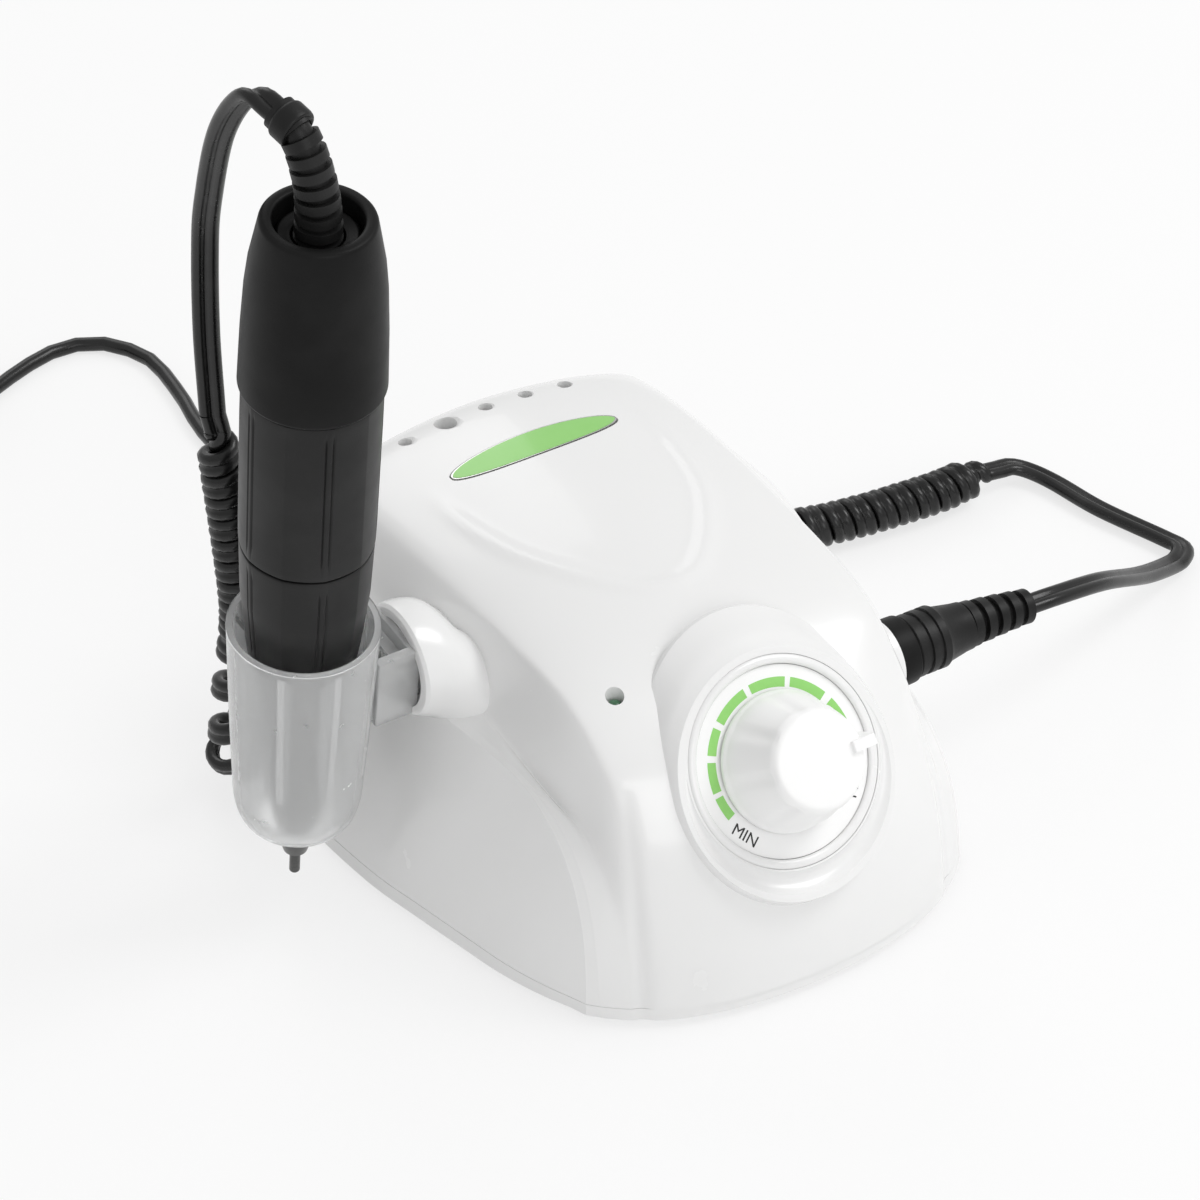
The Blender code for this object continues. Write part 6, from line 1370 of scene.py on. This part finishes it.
# Strain reliefs: moulded rubber boots, each a tapering core with rounded ribs on it that lets the lead bend
# evenly. A node tree sweeps the core along the boot's path and sets the ribs on it.
BOOT_CORE_SHARE = 0.74
BOOT_ROUND = 32
BOOT_RIB_THICKNESS = 0.0021
BOOT_RIB_EASE = 0.0004
# A rib's section has its middle at this share of the boot's radius, and is this share of it deep.
BOOT_RIB_MIDDLE_SHARE = 0.86
BOOT_RIB_DEPTH_SHARE = 0.28


def relief_boot(name, path, start_radius, end_radius, count, finish, bare=0.0):
    """A core along a path, with ribs from the bare share of its length on."""
    sizes = {"Ribs": count, "First radius": start_radius, "Last radius": end_radius,
             "Core share": BOOT_CORE_SHARE, "Rib thickness": BOOT_RIB_THICKNESS, "Bare share": bare}
    tree = bpy.data.node_groups.new(name + "_tree", "GeometryNodeTree")
    tree.interface.new_socket(name="Path", in_out="INPUT", socket_type="NodeSocketGeometry")
    inputs = {}
    for key in sizes:
        kind = "NodeSocketInt" if key == "Ribs" else "NodeSocketFloat"
        inputs[key] = tree.interface.new_socket(name=key, in_out="INPUT", socket_type=kind)
    tree.interface.new_socket(name="Boot", in_out="OUTPUT", socket_type="NodeSocketGeometry")
    path_in, ribs, first, last, core, thick, bare_share = list(add(tree, "NodeGroupInput").outputs)[:7]

    def maths(operation, *pair):
        values = {k: one for k, one in enumerate(pair) if isinstance(one, float)}
        links = {k: one for k, one in enumerate(pair) if not isinstance(one, float)}
        return add(tree, "ShaderNodeMath", links, values, operation=operation).outputs[0]

    def tapered(along):
        return maths("ADD", first, maths("MULTIPLY", maths("SUBTRACT", last, first), along))

    share = add(tree, "GeometryNodeSplineParameter").outputs["Factor"]
    core_line = add(tree, "GeometryNodeSetCurveRadius",
                    {"Curve": path_in, "Radius": maths("MULTIPLY", tapered(share), core)})
    core_round = add(tree, "GeometryNodeCurvePrimitiveCircle",
                     values={"Resolution": BOOT_ROUND, "Radius": 1.0})
    core_mesh = add(tree, "GeometryNodeCurveToMesh",
                    {"Curve": core_line.outputs[0], "Profile Curve": core_round.outputs[0],
                     "Scale": add(tree, "GeometryNodeInputRadius").outputs[0]}, {"Fill Caps": True})
    trimmed = add(tree, "GeometryNodeTrimCurve", {"Curve": path_in, "Start": bare_share})
    sampled = add(tree, "GeometryNodeResampleCurve", {"Curve": trimmed.outputs[0], "Count": ribs})
    spots = add(tree, "GeometryNodeCurveToPoints", {"Curve": sampled.outputs[0]}, mode="EVALUATED")
    number = add(tree, "GeometryNodeInputIndex").outputs[0]
    along = maths("DIVIDE", number, maths("SUBTRACT", ribs, 1.0))
    along = maths("ADD", bare_share, maths("MULTIPLY", along, maths("SUBTRACT", 1.0, bare_share)))
    rib_line = add(tree, "GeometryNodeCurvePrimitiveCircle",
                   values={"Resolution": BOOT_ROUND, "Radius": BOOT_RIB_MIDDLE_SHARE})
    rib_cut = add(tree, "GeometryNodeCurvePrimitiveQuadrilateral", {"Height": thick},
                  {"Width": BOOT_RIB_DEPTH_SHARE})
    rib_eased = add(tree, "GeometryNodeFilletCurve", {"Curve": rib_cut.outputs[0]},
                    {"Count": 3, "Radius": BOOT_RIB_EASE}, mode="POLY")
    rib_mesh = add(tree, "GeometryNodeCurveToMesh",
                   {"Curve": rib_line.outputs[0], "Profile Curve": rib_eased.outputs[0]})
    size = tapered(along)
    spread = add(tree, "ShaderNodeCombineXYZ", {0: size, 1: size}, {2: 1.0})
    ribs_made = add(tree, "GeometryNodeInstanceOnPoints", {"Points": spots.outputs["Points"],
                                                           "Instance": rib_mesh.outputs[0],
                                                           "Rotation": spots.outputs["Rotation"],
                                                           "Scale": spread.outputs[0]})
    joined = add(tree, "GeometryNodeJoinGeometry")
    for made in (core_mesh, ribs_made):
        tree.links.new(made.outputs[0], joined.inputs[0])
    real = add(tree, "GeometryNodeRealizeInstances", {0: joined.outputs[0]})
    paint = add(tree, "GeometryNodeSetMaterial", {0: real.outputs[0]}, {"Material": finish.material})
    add(tree, "NodeGroupOutput", {0: paint.outputs[0]})
    carrier = link(name + "_carrier", poly_curve(name + "_line", path))
    grow = carrier.modifiers.new("boot", "NODES")
    grow.node_group = tree
    for key, value in sizes.items():
        grow[inputs[key].identifier] = value
    return link(name, smoothed(plain_mesh(carrier), 40.0))


boot_route = [Vector(p) / 1000 for p in ((0.0, 0.0, 98.6), (0.0, 0.0, 106.0), (-0.3, 0.6, 113.0),
                                         (-1.2, 2.4, 119.8), (-2.2, 4.8, 124.6), (-3.0, 7.2, 126.2),
                                         (-3.4, 8.9, 126.5))]
BOOT_SPACING = 0.0008
boot_path = [SEAT @ HAND @ p for p in smooth_path(boot_route, BOOT_SPACING)]
boot = relief_boot("boot", boot_path, 0.0050, 0.0037, 11, plug_rubber)
collar_outline = eased([(0.0026, -0.0046), (0.0041, -0.0046), (0.0043, -0.0036), (0.0043, -0.0008),
                        (0.0037, -0.0002), (0.0026, -0.0002)], 0.0005)
collar_mesh = turned("boot_collar", collar_outline, 48)
collar_turn = Vector((0.0, 0.0, 1.0)).rotation_difference(boot_path[-1] - boot_path[-4])
collar_mesh.transform(Matrix.Translation(boot_path[-1]) @ collar_turn.to_matrix().to_4x4())
boot_collar = link("boot_collar", collar_mesh, plug_rubber)
for piece in (boot, boot_collar):
    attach(piece, "handpiece")
    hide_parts("handpiece_boot")

# Handpiece plug: a moulded black plug in the socket of the right wall, with a ribbed collar, a taper and
# its own relief.
plug_shares = [(0.0, 0.60), (0.008, 0.648), (0.235, 0.648), (0.236, 0.93), (0.25, 1.0), (0.29, 1.0),
               (0.295, 0.93), (0.315, 0.93), (0.32, 1.0), (0.36, 1.0), (0.365, 0.93), (0.385, 0.93),
               (0.39, 1.0), (0.43, 1.0), (0.46, 0.90), (0.58, 0.78), (0.62, 0.76), (0.625, 0.58)]
PLUG_START = 0.0462
PLUG_REACH = 0.0885
PLUG_BODY_RADIUS = 0.00725
PLUG_DROP = 0.0018
PLUG_DROP_FROM = 0.3
PLUG_POINTS = 64
RELIEF_FROM = 0.60
RELIEF_STEPS = 30


def plug_axis(along):
    """The plug's axis, which droops a little past the collar, at a share of its length."""
    return Vector((PLUG_START + (PLUG_REACH - PLUG_START) * along, SOCKET_Y,
                   SOCKET_Z - PLUG_DROP * max(0.0, (along - PLUG_DROP_FROM) / (1 - PLUG_DROP_FROM)) ** 2))


plug_rings = []
for along, share in plug_shares:
    middle = plug_axis(along)
    plug_rings.append([(middle.x, middle.y + PLUG_BODY_RADIUS * share * cos(2 * pi * i / PLUG_POINTS),
                        middle.z + PLUG_BODY_RADIUS * share * sin(2 * pi * i / PLUG_POINTS))
                       for i in range(PLUG_POINTS)])
plug = link("plug_body", seated(lofted("plug_body", plug_rings, angle=25.0)), plug_rubber)
relief_path = [plug_axis(RELIEF_FROM + (1 - RELIEF_FROM) * k / RELIEF_STEPS) + BOX_MIDDLE
               for k in range(RELIEF_STEPS + 1)]
plug_relief = relief_boot("plug_relief", relief_path, 0.0054, 0.0040, 5, plug_rubber, 0.12)
socket_outline = eased([(0.0, 0.0410), (0.0063, 0.0410), (0.0063, 0.0511), (0.0080, 0.0511),
                        (0.0078, 0.0560), (0.0050, 0.0560), (0.0050, 0.0450), (0.0, 0.0450)], 0.0003)
socket_mesh = turned("socket", socket_outline, 64)
socket = link("socket", seated(socket_mesh, socket_place), black_satin)
for piece, replaced, slot in ((plug, "handpiece_plug", "black_rubber"),
                              (plug_relief, "handpiece_plug", "black_rubber"),
                              (socket, "handpiece_socket", "black_plastic")):
    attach(piece, "box")
    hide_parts(replaced)
cord_length(plug_points)

# Rear fittings: mains gland, jack for the foot pedal and fuse holder with its slotted cap. All are black
# mouldings, set in one row in the rear panel.
REAR_Y = 0.0666
LOW_ROW_Z = 0.0160
ALONG_Y = Matrix.Rotation(radians(-90.0), 4, "X")
GLAND_X = -0.0140
JACK_X = 0.0070
FUSE_X = 0.0270


def rear_place(x):
    return Matrix.Translation((x, REAR_Y, LOW_ROW_Z)) @ ALONG_Y


gland_outline = eased([(0.0, -0.004), (0.00546, -0.004), (0.00546, -0.0021), (0.0042, -0.0021),
                       (0.0042, 0.0003), (0.00588, 0.0003), (0.00588, 0.0017), (0.0040, 0.0017),
                       (0.0034, 0.0050), (0.0027, 0.0090), (0.0021, 0.0090), (0.0021, 0.0), (0.0, 0.0)],
                      0.0003)
jack_outline = eased([(0.0, -0.011), (0.0060, -0.011), (0.0060, -0.0021), (0.0048, -0.0021),
                      (0.0048, 0.0003), (0.0060, 0.0003), (0.0060, 0.0017), (0.0033, 0.0017),
                      (0.0033, -0.009), (0.0, -0.009)], 0.0003)
fuse_outline = eased([(0.0, -0.024), (0.0060, -0.024), (0.0060, 0.0003), (0.0075, 0.0003),
                      (0.0075, 0.0017), (0.0042, 0.0017), (0.0042, -0.022), (0.0, -0.022)], 0.0003)
FUSE_CAP_TOP = 0.0070
cap_slot = slab("cap_slot", (0.0084, 0.0014, 0.0025), (0.0, 0.0, FUSE_CAP_TOP))
fuse_cap_outline = eased([(0.0, -0.012), (0.0039, -0.012), (0.0039, 0.0020), (0.0066, 0.0020),
                          (0.0060, FUSE_CAP_TOP), (0.0, FUSE_CAP_TOP)], 0.0005)
fuse_cap_mesh = smoothed(carve(turned("fuse_knob", fuse_cap_outline, 64), [("DIFFERENCE", cap_slot)]))
for name, mesh, x, body, replaced, finish, slot in (
        ("gland", turned("gland", gland_outline, 64), GLAND_X, "box", "mains_gland", plug_rubber,
         "black_rubber"),
        ("jack", turned("jack", jack_outline, 64), JACK_X, "box", "pedal_jack", black_satin,
         "black_plastic"),
        ("fuse_barrel", turned("fuse_barrel", fuse_outline, 64), FUSE_X, "box", "fuse_holder", black_satin,
         "black_plastic"),
        ("fuse_knob", fuse_cap_mesh, FUSE_X, "fuse_plug", "fuse_cap", black_satin, "black_plastic")):
    piece = link(name, seated(mesh, rear_place(x)), finish)
    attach(piece, body)
    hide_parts(replaced)

# What stays as built: the rear panel with its switches, and the works inside the box and the handpiece.
# Each keeps its solid and takes a finish for plastic, steel, copper, cast alloy or a coated board.
copper = Finish("copper_wire", (0.70, 0.33, 0.18), 0.34, 1.0)
winds = copper.noise(0.0004, 1.0, copper.stretched((80.0, 80.0, 1.0)))
copper.tint(winds, (0.46, 0.18, 0.08), (0.80, 0.42, 0.24))
copper.relief(winds, 0.00012)
alloy = Finish("cast_alloy", (0.70, 0.71, 0.72), 0.40, 1.0)
alloy.set("Roughness", 0.34 + alloy.noise(0.0015, 4.0) * 0.2)
alloy.relief(alloy.noise(0.0008, 3.0), 0.00003)
board_green = Finish("board_green", (0.03, 0.16, 0.07), 0.32)
board_x, board_y = [board_green.node("ShaderNodeSeparateXYZ", sockets={0: board_green.places}, output=k)
                    for k in range(2)]
tracks = ((board_x * 1600.0).sine() * (board_y * 1300.0).sine()).abs().smooth(0.55, 0.75)
board_green.tint(tracks, (0.025, 0.150, 0.062), (0.060, 0.260, 0.115))
board_green.relief(tracks, 0.00003)
kept = {"rear_panel": white_abs, "power_switch_frame": black_satin, "direction_switch_frame": black_satin,
        "selector_frame": black_satin, "power_rocker": black_satin, "direction_rocker": black_satin,
        "selector_slide": black_satin, "circuit_board": board_green, "transformer_core": turned_steel,
        "transformer_winding": copper, "heat_sink": alloy, "speed_potentiometer": alloy,
        "pot_shaft": turned_steel, "stator_magnet": alloy, "rear_bell": alloy, "rear_bearing": turned_steel,
        "front_bearing": turned_steel, "brush_ring": black_satin, "spindle_shaft": turned_steel,
        "rotor_core": turned_steel, "commutator": copper, "collet": turned_steel}
for name, finish in kept.items():
    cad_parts[name].data.materials.clear()
    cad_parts[name].data.materials.append(finish.material)

# Table and studio: a plain pale floor under large soft lamps. To the camera, and in what the object mirrors
# or lets through, the floor partly shines by itself, so that it comes out white and keeps a soft shadow.
floor_mesh = bpy.data.meshes.new("floor")
FLOOR = 4.0
FLOOR_SHINE = 0.72
floor_mesh.from_pydata([(-FLOOR, -FLOOR, 0), (FLOOR, -FLOOR, 0), (FLOOR, FLOOR, 0), (-FLOOR, FLOOR, 0)],
                       [], [(0, 1, 2, 3)])
pale = Finish("pale_floor", (0.86, 0.86, 0.86), 0.70)
seen, mirrored, through = [pale.node("ShaderNodeLightPath", output=f"Is {ray} Ray")
                           for ray in ("Camera", "Glossy", "Transmission")]
lit = Value(pale, pale.shader.outputs[0])
shining = pale.node("ShaderNodeEmission")
blended = pale.node("ShaderNodeMixShader", sockets={0: (seen + mirrored + through) * FLOOR_SHINE, 1: lit,
                                                    2: shining})
pale.feed(pale.tree.nodes["Material Output"].inputs[0], blended)
floor = link("floor", floor_mesh, pale)
# The camera sees a white backdrop, and the object is lit by a softer one.
BACKDROP_LIGHT = 0.64
world = bpy.data.worlds.new("studio")
bpy.context.scene.world = world
world.use_nodes = True
backdrop = world.node_tree.nodes["Background"]
backdrop.inputs["Color"].default_value = (1.0, 1.0, 1.0, 1.0)
rays = world.node_tree.nodes.new("ShaderNodeLightPath")
strength = world.node_tree.nodes.new("ShaderNodeMapRange")
strength.inputs["To Min"].default_value = BACKDROP_LIGHT
strength.inputs["To Max"].default_value = 1.0
world.node_tree.links.new(rays.outputs["Is Camera Ray"], strength.inputs["Value"])
world.node_tree.links.new(strength.outputs["Result"], backdrop.inputs["Strength"])
# Each lamp's place, size and power. All are aimed at the middle of the set.
AIM = Vector((0.0, 0.0, 0.06))
for name, place, size, power in (("key", (0.9, -0.4, 1.3), 0.7, 9.0),
                                 ("fill", (-0.2, -1.4, 0.8), 0.8, 5.0),
                                 ("back", (0.3, 1.3, 1.0), 0.8, 3.0)):
    lamp_data = bpy.data.lights.new(name, "AREA")
    lamp_data.shape = "SQUARE"
    lamp_data.size = size
    lamp_data.energy = power
    light = link(name, lamp_data)
    light.location = place
    light.rotation_euler = (AIM - Vector(place)).to_track_quat("-Z", "Y").to_euler()
bpy.context.scene.view_settings.view_transform = "Standard"
